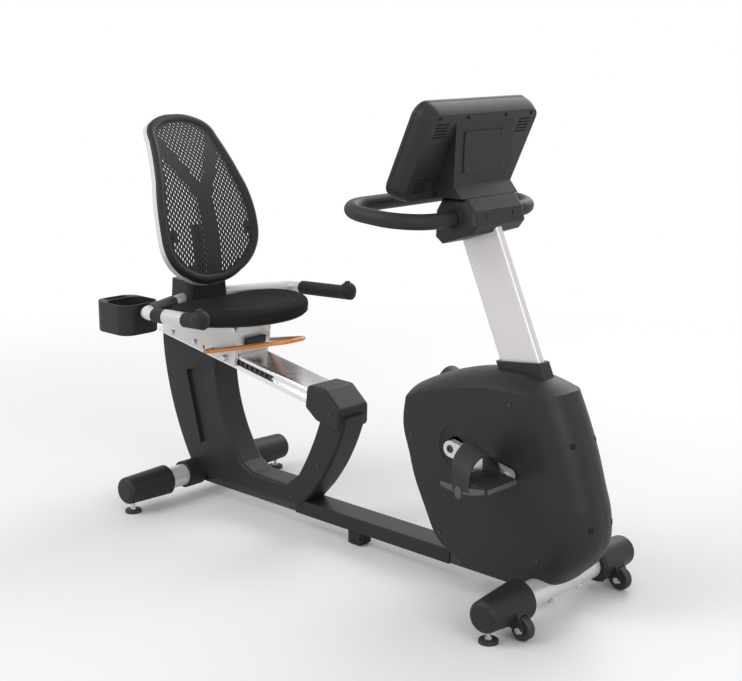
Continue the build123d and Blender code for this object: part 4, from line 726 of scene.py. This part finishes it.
BACK_ANGLE = math.radians(20.5)
BACK_ORIGIN = Vector((-0.568, 0.0, 0.632))
BACK_EDGE = (
    ((0.000, 0.000), (0.055, 0.005), (0.100, 0.024)),
    ((0.100, 0.024), (0.158, 0.074), (0.176, 0.143)),
    ((0.176, 0.143), (0.171, 0.220), (0.152, 0.297)),
    ((0.120, 0.422), (0.110, 0.456), (0.084, 0.479)),
    ((0.084, 0.479), (0.046, 0.495), (0.000, 0.499)),
)
BACK_HEIGHT = 0.499
BACK_BOW = 0.050
BACK_CURVE = 0.6491
BAND_STEM = 0.022
BAND_FORK = 0.232
BAND_ARM = 0.017
BAND_TOP = Vector((0.118, 0.446))
TONGUE_HEIGHT = 0.138
TONGUE_HALF = 0.012
TONGUE_START = 0.122
NET_LAP = 0.003
NET_SINK = 0.001
NET_COLUMNS = 14
HOLE_SIDES = 10
BORDER_FOOT = -0.0060


def back_outline(inset, count=240):
    """The back rest's edge in its own plane, anticlockwise from the front."""
    half = []
    for index, arc in enumerate(BACK_EDGE):
        half += arc_points(*arc, 14)
        if index == 2:
            half += line_points(BACK_EDGE[2][2], BACK_EDGE[3][0], 10)
    half.append(Vector(BACK_EDGE[-1][2]))
    other = [Vector((-p.x, p.y)) for p in reversed(half[1:-1])]
    return drawn_in(evenly(half + other, count), inset)


def bowed(up):
    """How far the back rest bows out at a height up its chord."""
    reach = up - BACK_HEIGHT / 2
    return BACK_BOW - BACK_CURVE + math.sqrt(BACK_CURVE**2 - reach**2)


def on_back(point, out):
    """A point of the back rest's bowed face, moved out towards the rider."""
    up = Vector((-math.sin(BACK_ANGLE), 0.0, math.cos(BACK_ANGLE)))
    front = Vector((math.cos(BACK_ANGLE), 0.0, math.sin(BACK_ANGLE)))
    return BACK_ORIGIN + Vector((0.0, point.x, 0.0)) + up * point.y + front * (out + bowed(point.y))


def inside(point, outline):
    """Whether a flat point lies inside a closed outline."""
    crossings = 0
    for a, b in zip(outline, outline[1:] + outline[:1]):
        if (a.y > point.y) != (b.y > point.y):
            crossings += point.x < a.x + (point.y - a.y) * (b.x - a.x) / (b.y - a.y)
    return crossings % 2 == 1


def on_band(point, margin):
    """Whether a flat point lies on the forked solid band of the net."""
    across = abs(point.x)
    if across > TONGUE_START and abs(point.y - TONGUE_HEIGHT) < TONGUE_HALF + margin:
        return True
    if point.y < BAND_FORK:
        return across < BAND_STEM + margin
    start = Vector((0.0, BAND_FORK))
    arm = (BAND_TOP - start).normalized()
    offset = Vector((across, point.y)) - start
    return abs(offset.x * arm.y - offset.y * arm.x) < BAND_ARM + margin


class BIKE_OT_back_rest(bpy.types.Operator):
    """Makes the back rest's fine oval net and its rounded border"""

    bl_idname = "bike.back_rest"
    bl_label = "Back Rest"

    def execute(self, context):
        sizes = context.scene.bike_sizes
        edge = back_outline(sizes.border_width - NET_LAP)
        zone = back_outline(sizes.border_width + 0.5 * sizes.net_hole_height)
        points = list(edge)
        count = len(edge)
        edges = [(i, (i + 1) % count) for i in range(count)]
        owner = [-1] * count
        for row in range(int(BACK_HEIGHT / sizes.net_row)):
            for column in range(-NET_COLUMNS, NET_COLUMNS + 1):
                across = (column + 0.5 * (row % 2)) * sizes.net_pitch
                centre = Vector((across, row * sizes.net_row))
                if on_band(centre, 0.5 * sizes.net_hole_width) or not inside(centre, zone):
                    continue
                first = len(points)
                for i in range(HOLE_SIDES):
                    t = math.tau * i / HOLE_SIDES
                    reach = Vector((
                        0.5 * sizes.net_hole_width * math.cos(t),
                        0.5 * sizes.net_hole_height * math.sin(t),
                    ))
                    points.append(centre + reach)
                    edges.append((first + i, first + (i + 1) % HOLE_SIDES))
                    owner.append(first)
        flat, _, faces, sources, _, _ = delaunay_2d_cdt(points, edges, [], 1, 1e-6)
        owners = [owner[source[0]] for source in sources]
        solid_faces = []
        for face in faces:
            held = {owners[i] for i in face}
            if len(held) > 1 or held == {-1}:
                solid_faces.append(face)
        mesh = bpy.data.meshes.new("back_net")
        mesh.from_pydata([on_back(p, -NET_SINK) for p in flat], [], solid_faces)
        item = linked("net_sheet", mesh)
        thick = item.modifiers.new("thick", "SOLIDIFY")
        thick.thickness = sizes.net_thickness
        thick.offset = -1.0
        apply_modifiers(item)
        solid = item.data.copy()
        bpy.data.objects.remove(item)
        piece("back_net", solid, "seat", "net_plastic", replaces=("back_panel",))
        self.add_border(sizes)
        return {"FINISHED"}

    def add_border(self, sizes):
        """A rounded bead all round, from the silver shell to the net."""
        width, rise = sizes.border_width, sizes.border_rise
        profile = (
            (0.0000, BORDER_FOOT),
            (0.0000, -0.0020),
            (0.06 * width, 0.35 * rise),
            (0.22 * width, 0.80 * rise),
            (0.45 * width, rise),
            (0.70 * width, 0.80 * rise),
            (0.92 * width, 0.30 * rise),
            (1.02 * width, -0.0010),
            (1.02 * width, BORDER_FOOT),
        )
        rings = [[on_back(p, out) for p in back_outline(inset)] for inset, out in profile]
        border = Bench()
        border.skin(rings, closed=True)
        border.piece("back_border", "seat", "net_plastic")


PEDAL_TILT = math.radians(3.0)
PEDAL_ALONG = Vector((math.cos(PEDAL_TILT), 0.0, math.sin(PEDAL_TILT)))
PEDAL_UP = Vector((-math.sin(PEDAL_TILT), 0.0, math.cos(PEDAL_TILT)))
PEDAL_BACK = 0.032
PEDAL_BELOW = 0.005
PEDAL_HALF = 0.014
PEDAL_SPINDLES = {
    "right": (Vector((0.561154, 0.0, 0.335020)), -1.0),
    "left": (Vector((0.226846, 0.0, 0.396980)), 1.0),
}
RIB_OUTLINE = (0.0040, 0.084, 0.0019)
RIB_RISE = (0.0016, 0.0008)
RIB_SPREAD = 0.060
RIB_SINK = 0.0001
SIDE_REACH = 0.064
SIDE_UNDER = (-0.003, -0.010)
SIDE_OVER = (0.007, -0.003)
SIDE_RISE = (0.0030, 0.0012)
TOE_OUTLINE = (0.106, 0.0105, 0.004)
TOE_AHEAD = 0.0695
TOE_ABOVE = 0.0015
BUCKLE_OUTLINE = (0.017, 0.030, 0.0080)
BUCKLE_RISE = (0.0034, 0.0014)
BUCKLE_BACK = 0.010
BUCKLE_BELOW = 0.010
BUCKLE_OUT = 0.0034


class BIKE_OT_pedal_fittings(bpy.types.Operator):
    """Adds tread ribs, the grey outer band and the strap buckle to both pedals"""

    bl_idname = "bike.pedal_fittings"
    bl_label = "Pedal Fittings"

    def execute(self, context):
        count = context.scene.bike_sizes.tread_ribs
        for side, (spindle, sign) in PEDAL_SPINDLES.items():
            low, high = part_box(f"pedal_{side}")
            platform = spindle - PEDAL_ALONG * PEDAL_BACK - PEDAL_UP * PEDAL_BELOW
            centre = platform + Vector((0.0, (low.y + high.y) / 2, 0.0))
            outside = Vector((platform.x, low.y if sign < 0 else high.y, platform.z))
            self.add_tread(side, centre, count)
            self.add_band(side, sign, centre, outside)
            self.add_buckle(side, sign, outside)
        return {"FINISHED"}

    def add_tread(self, side, centre, count):
        """Grip ribs across the platform's top."""
        ribs = Bench()
        outline = rounded_outline(*RIB_OUTLINE)
        for i in range(count):
            shift = (i / (count - 1) - 0.5) * RIB_SPREAD
            spot = centre + PEDAL_ALONG * shift + PEDAL_UP * (PEDAL_HALF - RIB_SINK)
            ribs.add_slab(outline, frame_at(spot, PEDAL_UP, PEDAL_ALONG), *RIB_RISE)
        ribs.piece(f"pedal_tread_{side}", f"pedal_{side}", "pedal_plastic")

    def add_band(self, side, sign, centre, outside):
        """The grey band along the platform's outer side and across its toe."""
        band = Bench()
        under = self.bow(-SIDE_REACH, SIDE_REACH, *SIDE_UNDER)
        over = self.bow(SIDE_REACH, -SIDE_REACH, *SIDE_OVER)
        outline = [Vector((-sign * p.x, p.y)) for p in under + over]
        if sign > 0:
            outline.reverse()
        place = frame_at(outside, (0.0, sign, 0.0), -sign * PEDAL_ALONG)
        band.add_slab(outline, place, *SIDE_RISE)
        toe = centre + PEDAL_ALONG * TOE_AHEAD + PEDAL_UP * TOE_ABOVE
        band.add_slab(rounded_outline(*TOE_OUTLINE), frame_at(toe, PEDAL_ALONG), *SIDE_RISE)
        band.piece(f"pedal_band_{side}", f"pedal_{side}", "pedal_plastic", "pedal_band")

    def add_buckle(self, side, sign, outside):
        """An oval buckle on the platform's outer side, for the strap."""
        tab = Bench()
        out = Vector((0.0, sign * BUCKLE_OUT, 0.0))
        spot = outside - PEDAL_ALONG * BUCKLE_BACK - PEDAL_UP * BUCKLE_BELOW + out
        place = frame_at(spot, (0.0, sign, 0.0), PEDAL_ALONG)
        tab.add_slab(rounded_outline(*BUCKLE_OUTLINE), place, *BUCKLE_RISE)
        tab.piece(f"strap_buckle_{side}", f"pedal_{side}", "pedal_plastic", "pedal_band")

    def bow(self, start, end, height, depth, count=20):
        """Points along a shallow bow between two places of one height."""
        shares = [i / count for i in range(count + 1)]
        return [Vector((start + (end - start) * t, height + 4.0 * depth * t * (1.0 - t))) for t in shares]


DISC_INNER = 0.0256
DISC_OUTER = 0.0515
DISC_RIBS = 8
DISC_FIRST_RIB = 0.0262
DISC_RIB_PITCH = 0.0031
DISC_VALLEY = 0.0004
DISC_RIDGE = 0.0011
DISC_RECESS = 0.0015
CRANK_BOLT = ((0.0092, 0.0), (0.0092, 0.0026), (0.0080, 0.0040), (0.0052, 0.0040), (0.0048, 0.0012))
BOLT_GAP = 0.0002
BOLT_SIDES = 32


class BIKE_OT_crank_fittings(bpy.types.Operator):
    """Adds the ribbed crank discs and the crank bolts"""

    bl_idname = "bike.crank_fittings"
    bl_label = "Crank Fittings"

    def execute(self, context):
        axle_low, axle_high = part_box("crank_axle")
        centre = (axle_low + axle_high) / 2
        cover_low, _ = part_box("drive_cover_right")
        profile = [(DISC_INNER, 0.0)]
        for i in range(DISC_RIBS):
            radius = DISC_FIRST_RIB + DISC_RIB_PITCH * i
            profile += [(radius, DISC_VALLEY), (radius + 0.0008, DISC_RIDGE), (radius + 0.0020, DISC_RIDGE)]
        profile += [(DISC_OUTER, DISC_VALLEY), (DISC_OUTER, 0.0)]
        face = abs(cover_low.y) - DISC_RECESS
        end = axle_high.y + BOLT_GAP
        discs = Bench()
        bolts = Bench()
        for sign in SIDES:
            out = (0.0, sign, 0.0)
            discs.add_ring(profile, frame_at((centre.x, sign * face, centre.z), out, AHEAD))
            bolts.add(CRANK_BOLT, frame_at((centre.x, sign * end, centre.z), out, AHEAD), BOLT_SIDES)
        discs.piece("crank_discs", "frame", "black_moulding")
        bolts.piece("crank_bolts", "crank", "black_paint")
        return {"FINISHED"}


SCREW_HEAD = ((0.0044, 0.0), (0.0044, 0.0011), (0.0036, 0.0019), (0.0020, 0.0019), (0.0016, 0.0008))
SCREW_SINK = 0.0003
SLOT_RISE = (0.0006, 0.0002)
PANEL_THICK = 0.0025
PANEL_INSET = 0.010
NOSE_SCREWS = ((0.0444, 0.423), (0.0417, 0.236))
NOSE_OUTLINE = (0.0150, 0.0150, 0.0074)
NOSE_RISE = (0.0008, 0.0003)
WASHER = ((0.0102, 0.0), (0.0102, 0.0010), (0.0098, 0.0014), (0.0084, 0.0014))
CARRIAGE_BOLTS = ((-0.693, 0.480), (-0.594, 0.466), (-0.420, 0.526))
CARRIAGE_SLOT = (-0.5537, 0.456)
CARRIAGE_OUTLINE = (0.0050, 0.0120, 0.0022)
POST_SCREW = (0.056, 0.612)
TONGUE_SCREW = 0.140
TONGUE_SINK = 0.0011
CONSOLE_TILT = math.radians(25.0)
CONSOLE_FOOT = Vector((0.2623, 0.0, 0.968))
CONSOLE_OUT = Vector((math.cos(CONSOLE_TILT), 0.0, -math.sin(CONSOLE_TILT)))
CONSOLE_UP = Vector((math.sin(CONSOLE_TILT), 0.0, math.cos(CONSOLE_TILT)))
VENT_OUTLINE = (0.0434, 0.0034, 0.0016)
VENT_SPREAD = (-0.150, 0.150)
VENT_ROWS = (0.050, 0.190)
VENT_PITCH = 0.008
VENT_DEPTH = 0.0531
TOP_SCREWS = (-0.167, -0.069, 0.069, 0.167)
TOP_SCREW_UP = 0.221
TOP_SCREW_DEPTH = 0.0549
SOCKETS = (
    (0.350, 1.006, 0.011, 0.007),
    (0.361, 1.048, 0.009, 0.005),
    (0.371, 1.066, 0.009, 0.005),
    (0.381, 1.084, 0.009, 0.005),
)
SOCKET_CORNER = 0.0012
BAR_PLACE = Vector((0.388, 0.0, 0.915))
CLAMP_SLOT = (0.049, 0.922)
CLAMP_OUTLINE = (0.0052, 0.0125, 0.0024)
CLAMP_RISE = (0.0005, 0.0002)
COLLAR = ((0.0188, 0.0), (0.0188, 0.0022), (0.0200, 0.0030), (0.0240, 0.0030), (0.0250, 0.0))
COLLAR_GAP = 0.0001


class BIKE_OT_small_hardware(bpy.types.Operator):
    """Adds screws, washers, ports and slots that show on the covers and the console"""

    bl_idname = "bike.small_hardware"
    bl_label = "Small Hardware"

    def execute(self, context):
        self.panel_screws()
        self.nose_screws()
        self.carriage_washers()
        self.back_rest_screws()
        self.console_details()
        self.clamp_details()
        return {"FINISHED"}

    def panel_screws(self):
        """Four screws in the corners of the access panel behind the console."""
        low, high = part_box("access_panel")
        run = high.x - low.x - PANEL_THICK
        lean = math.atan2(run, high.z - low.z)
        out = Vector((math.cos(lean), 0.0, -math.sin(lean)))
        screws = Bench()
        for across in (low.y + PANEL_INSET, high.y - PANEL_INSET):
            for height in (low.z + PANEL_INSET, high.z - PANEL_INSET):
                share = (height - low.z) / (high.z - low.z)
                ahead = high.x - run * (1.0 - share)
                screws.add(SCREW_HEAD, frame_at((ahead - SCREW_SINK, across, height), out))
        screws.piece("panel_screws", "frame", "black_paint")

    def nose_screws(self):
        """Sunk screws down the front edge of both drive covers, drawn as thin near-black slabs that paint
        the shade of their holes.
        """
        sunk = Bench()
        outline = rounded_outline(*NOSE_OUTLINE)
        for side, sign in (("right", -1.0), ("left", 1.0)):
            for across, height in NOSE_SCREWS:
                spot, out = seat_on(f"drive_cover_{side}", (1.0, sign * across, height), (-1, 0, 0))
                sunk.add_slab(outline, frame_at(spot, out), *NOSE_RISE)
        sunk.piece("nose_screws", "frame", "black_moulding", "dark_slot")

    def carriage_washers(self):
        """A washer under each hexagon head on the seat carriage, and a slot beside the lever, drawn as a
        thin near-black slab that paints the shade inside it.
        """
        _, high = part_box("carriage")
        washers = Bench()
        shade_slabs = Bench()
        slot_x, slot_z = CARRIAGE_SLOT
        for sign in SIDES:
            out = (0.0, sign, 0.0)
            for x, z in CARRIAGE_BOLTS:
                washers.add(WASHER, frame_at((x, sign * high.y, z), out, AHEAD), BOLT_SIDES)
            mark = frame_at((slot_x, sign * high.y, slot_z), out, AHEAD)
            shade_slabs.add_slab(rounded_outline(*CARRIAGE_OUTLINE), mark, *SLOT_RISE)
        washers.piece("carriage_washers", "seat", "steel")
        shade_slabs.piece("carriage_slots", "seat", "black_paint", "dark_slot")

    def back_rest_screws(self):
        """Screws in the back rest's moulded foot and in the tongues of its net, in a near-black that paints
        the shade of their holes.
        """
        screws = Bench()
        across, height = POST_SCREW
        for sign in SIDES:
            foot, _ = seat_on("back_post", (0.0, sign * across, height), (-1, 0, 0))
            screws.add(SCREW_HEAD, frame_at(foot, AHEAD))
            tongue = on_back(Vector((sign * TONGUE_SCREW, TONGUE_HEIGHT)), -TONGUE_SINK)
            screws.add(SCREW_HEAD, frame_at(tongue, (math.cos(BACK_ANGLE), 0.0, math.sin(BACK_ANGLE))))
        screws.piece("back_rest_screws", "seat", "black_paint", "dark_slot")

    def console_details(self):
        """Slots, top screws and side sockets on the console's back, as thin near-black slabs and heads that
        paint the shade inside them.
        """
        slots = Bench()
        vent = rounded_outline(*VENT_OUTLINE)
        for across in VENT_SPREAD:
            for row in VENT_ROWS:
                for i in range(-2, 3):
                    spot = CONSOLE_FOOT + CONSOLE_UP * (row + VENT_PITCH * i) + CONSOLE_OUT * VENT_DEPTH
                    place = frame_at(spot + Vector((0.0, across, 0.0)), CONSOLE_OUT)
                    slots.add_slab(vent, place, *SLOT_RISE)
        for across in TOP_SCREWS:
            spot = CONSOLE_FOOT + CONSOLE_UP * TOP_SCREW_UP + CONSOLE_OUT * TOP_SCREW_DEPTH
            slots.add(SCREW_HEAD, frame_at(spot + Vector((0.0, across, 0.0)), CONSOLE_OUT))
        for x, z, width, height in SOCKETS:
            spot, _ = seat_on("console_back", (x, -0.300, z), (0, 1, 0))
            outline = rounded_outline(width, height, SOCKET_CORNER)
            slots.add_slab(outline, frame_at(spot, (0, -1, 0), AHEAD), *SLOT_RISE)
        slots.piece("console_slots", "frame", "black_moulding", "dark_slot")

    def clamp_details(self):
        """Slots in the clamp's front, as thin near-black slabs that paint the shade inside them, and a
        collar where the handlebar enters it.
        """
        slots = Bench()
        collars = Bench()
        _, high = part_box("clamp_housing")
        across, height = CLAMP_SLOT
        for sign in SIDES:
            spot, out = seat_on("clamp_housing", (0.600, sign * across, height), (-1, 0, 0))
            slots.add_slab(rounded_outline(*CLAMP_OUTLINE), frame_at(spot, out), *CLAMP_RISE)
            entry = (BAR_PLACE.x, sign * (high.y + COLLAR_GAP), BAR_PLACE.z)
            collars.add_ring(COLLAR, frame_at(entry, (0.0, sign, 0.0), AHEAD))
        slots.piece("clamp_slots", "frame", "black_moulding", "dark_slot")
        collars.piece("handlebar_collars", "frame", "black_moulding")


WHITE = (1.0, 1.0, 1.0, 1.0)
FLOOR_REACH = 40.0
FADE_START = 1.0
FADE_END = 3.4
SKY_LIGHT = 0.55
LAMP_TARGET = Vector((0.0, 0.0, 0.45))
LAMPS = (
    ("key", Vector((-1.6, -3.0, 3.2)), 2.6, 80.0),
    ("fill", Vector((3.6, -1.2, 2.2)), 2.2, 45.0),
    ("rim", Vector((-0.5, 3.0, 2.8)), 2.4, 60.0),
)
CAMERA_PLACE = (2.406, -2.5324, 1.352)
CAMERA_TURN = (math.radians(77.088), 0.0, math.radians(43.074))
CAMERA_LENS = 67.09


class BIKE_OT_stage(bpy.types.Operator):
    """Sets the pale floor, the soft lights and the camera"""

    bl_idname = "bike.stage"
    bl_label = "Stage"

    def execute(self, context):
        scene = context.scene
        scene.view_settings.view_transform = "Standard"
        self.add_floor(scene)
        self.add_world(scene)
        self.add_lamps()
        self.add_camera(scene)
        return {"FINISHED"}

    def add_floor(self, scene):
        """A wide pale floor that fades to white away from the bike."""
        mesh = bpy.data.meshes.new("floor")
        turns = ((-1, -1), (1, -1), (1, 1), (-1, 1))
        corners = [(FLOOR_REACH * x, FLOOR_REACH * y, 0.0) for x, y in turns]
        mesh.from_pydata(corners, [], [(0, 1, 2, 3)])
        item = linked("floor", mesh)
        finish = Finish("floor", Roughness=0.55, Specular_IOR_Level=0.15)
        away = finish.node("ShaderNodeVectorMath", {"operation": "LENGTH"}, {0: finish.place}, "Value")
        reach = {0: away, 1: FADE_START, 2: FADE_END, 3: 0.0, 4: 1.0}
        fade = finish.node("ShaderNodeMapRange", {"interpolation_type": "SMOOTHSTEP"}, reach)
        base = scene.bike_finishes.floor
        mottle = finish.noise(3.0)
        finish.feed(Base_Color=finish.mix(mottle, toned(base, 0.985), base))
        glow = finish.node("ShaderNodeEmission", None, {"Color": WHITE, "Strength": 1.0})
        surface = Shade(finish, finish.surface.outputs[0])
        blend = finish.node("ShaderNodeMixShader", None, {0: fade * finish.seen(), 1: surface, 2: glow})
        finish.put(finish.tree.nodes["Material Output"], {"Surface": blend})
        mesh.materials.append(finish.material)

    def add_world(self, scene):
        """White surroundings: plain level for lighting, full white where they are seen."""
        world = bpy.data.worlds.new("studio")
        scene.world = world
        world.use_nodes = True
        sky = Graph(world.node_tree)
        light = sky.node("ShaderNodeBackground", None, {"Color": WHITE, "Strength": SKY_LIGHT})
        shown = sky.node("ShaderNodeBackground", None, {"Color": WHITE, "Strength": 1.0})
        blend = sky.node("ShaderNodeMixShader", None, {0: sky.seen(), 1: light, 2: shown})
        sky.put(sky.tree.nodes["World Output"], {"Surface": blend})

    def add_lamps(self):
        """A broad key from the upper left, a fill from the right and a rim from behind."""
        for name, spot, width, power in LAMPS:
            data = bpy.data.lights.new(name, "AREA")
            data.size = width
            data.energy = power
            lamp = linked(name, data)
            lamp.location = spot
            lamp.rotation_euler = (LAMP_TARGET - spot).to_track_quat("-Z", "Y").to_euler()

    def add_camera(self, scene):
        """The camera at the viewing angle that shows the pedals and the console's back."""
        data = bpy.data.cameras.new("camera")
        data.lens = CAMERA_LENS
        camera = linked("camera", data)
        camera.location = CAMERA_PLACE
        camera.rotation_euler = CAMERA_TURN
        scene.camera = camera


STEPS = (
    BIKE_OT_finish_frame,
    BIKE_OT_seat_cushion,
    BIKE_OT_back_rest,
    BIKE_OT_pedal_fittings,
    BIKE_OT_crank_fittings,
    BIKE_OT_small_hardware,
    BIKE_OT_stage,
)


class BIKE_PT_dresser(bpy.types.Panel):
    """Lists the bike's sizes, colours and steps"""

    bl_label = "Recumbent Bike"
    bl_idname = "BIKE_PT_dresser"
    bl_space_type = "VIEW_3D"
    bl_region_type = "UI"
    bl_category = "Bike"

    def draw(self, context):
        for group in (context.scene.bike_sizes, context.scene.bike_finishes):
            box = self.layout.box()
            for key in group.__annotations__:
                box.prop(group, key)
        for step in STEPS:
            self.layout.operator(step.bl_idname)


CLASSES = (BikeFinishes, BikeSizes, *STEPS, BIKE_PT_dresser)


def register():
    for entry in CLASSES:
        bpy.utils.register_class(entry)
    bpy.types.Scene.bike_finishes = PointerProperty(type=BikeFinishes)
    bpy.types.Scene.bike_sizes = PointerProperty(type=BikeSizes)


def unregister():
    del bpy.types.Scene.bike_sizes
    del bpy.types.Scene.bike_finishes
    for entry in reversed(CLASSES):
        bpy.utils.unregister_class(entry)


def main():
    """Runs every step in order."""
    register()
    bpy.ops.bike.finish_frame()
    bpy.ops.bike.seat_cushion()
    bpy.ops.bike.back_rest()
    bpy.ops.bike.pedal_fittings()
    bpy.ops.bike.crank_fittings()
    bpy.ops.bike.small_hardware()
    bpy.ops.bike.stage()


if __name__ == "__main__":
    main()
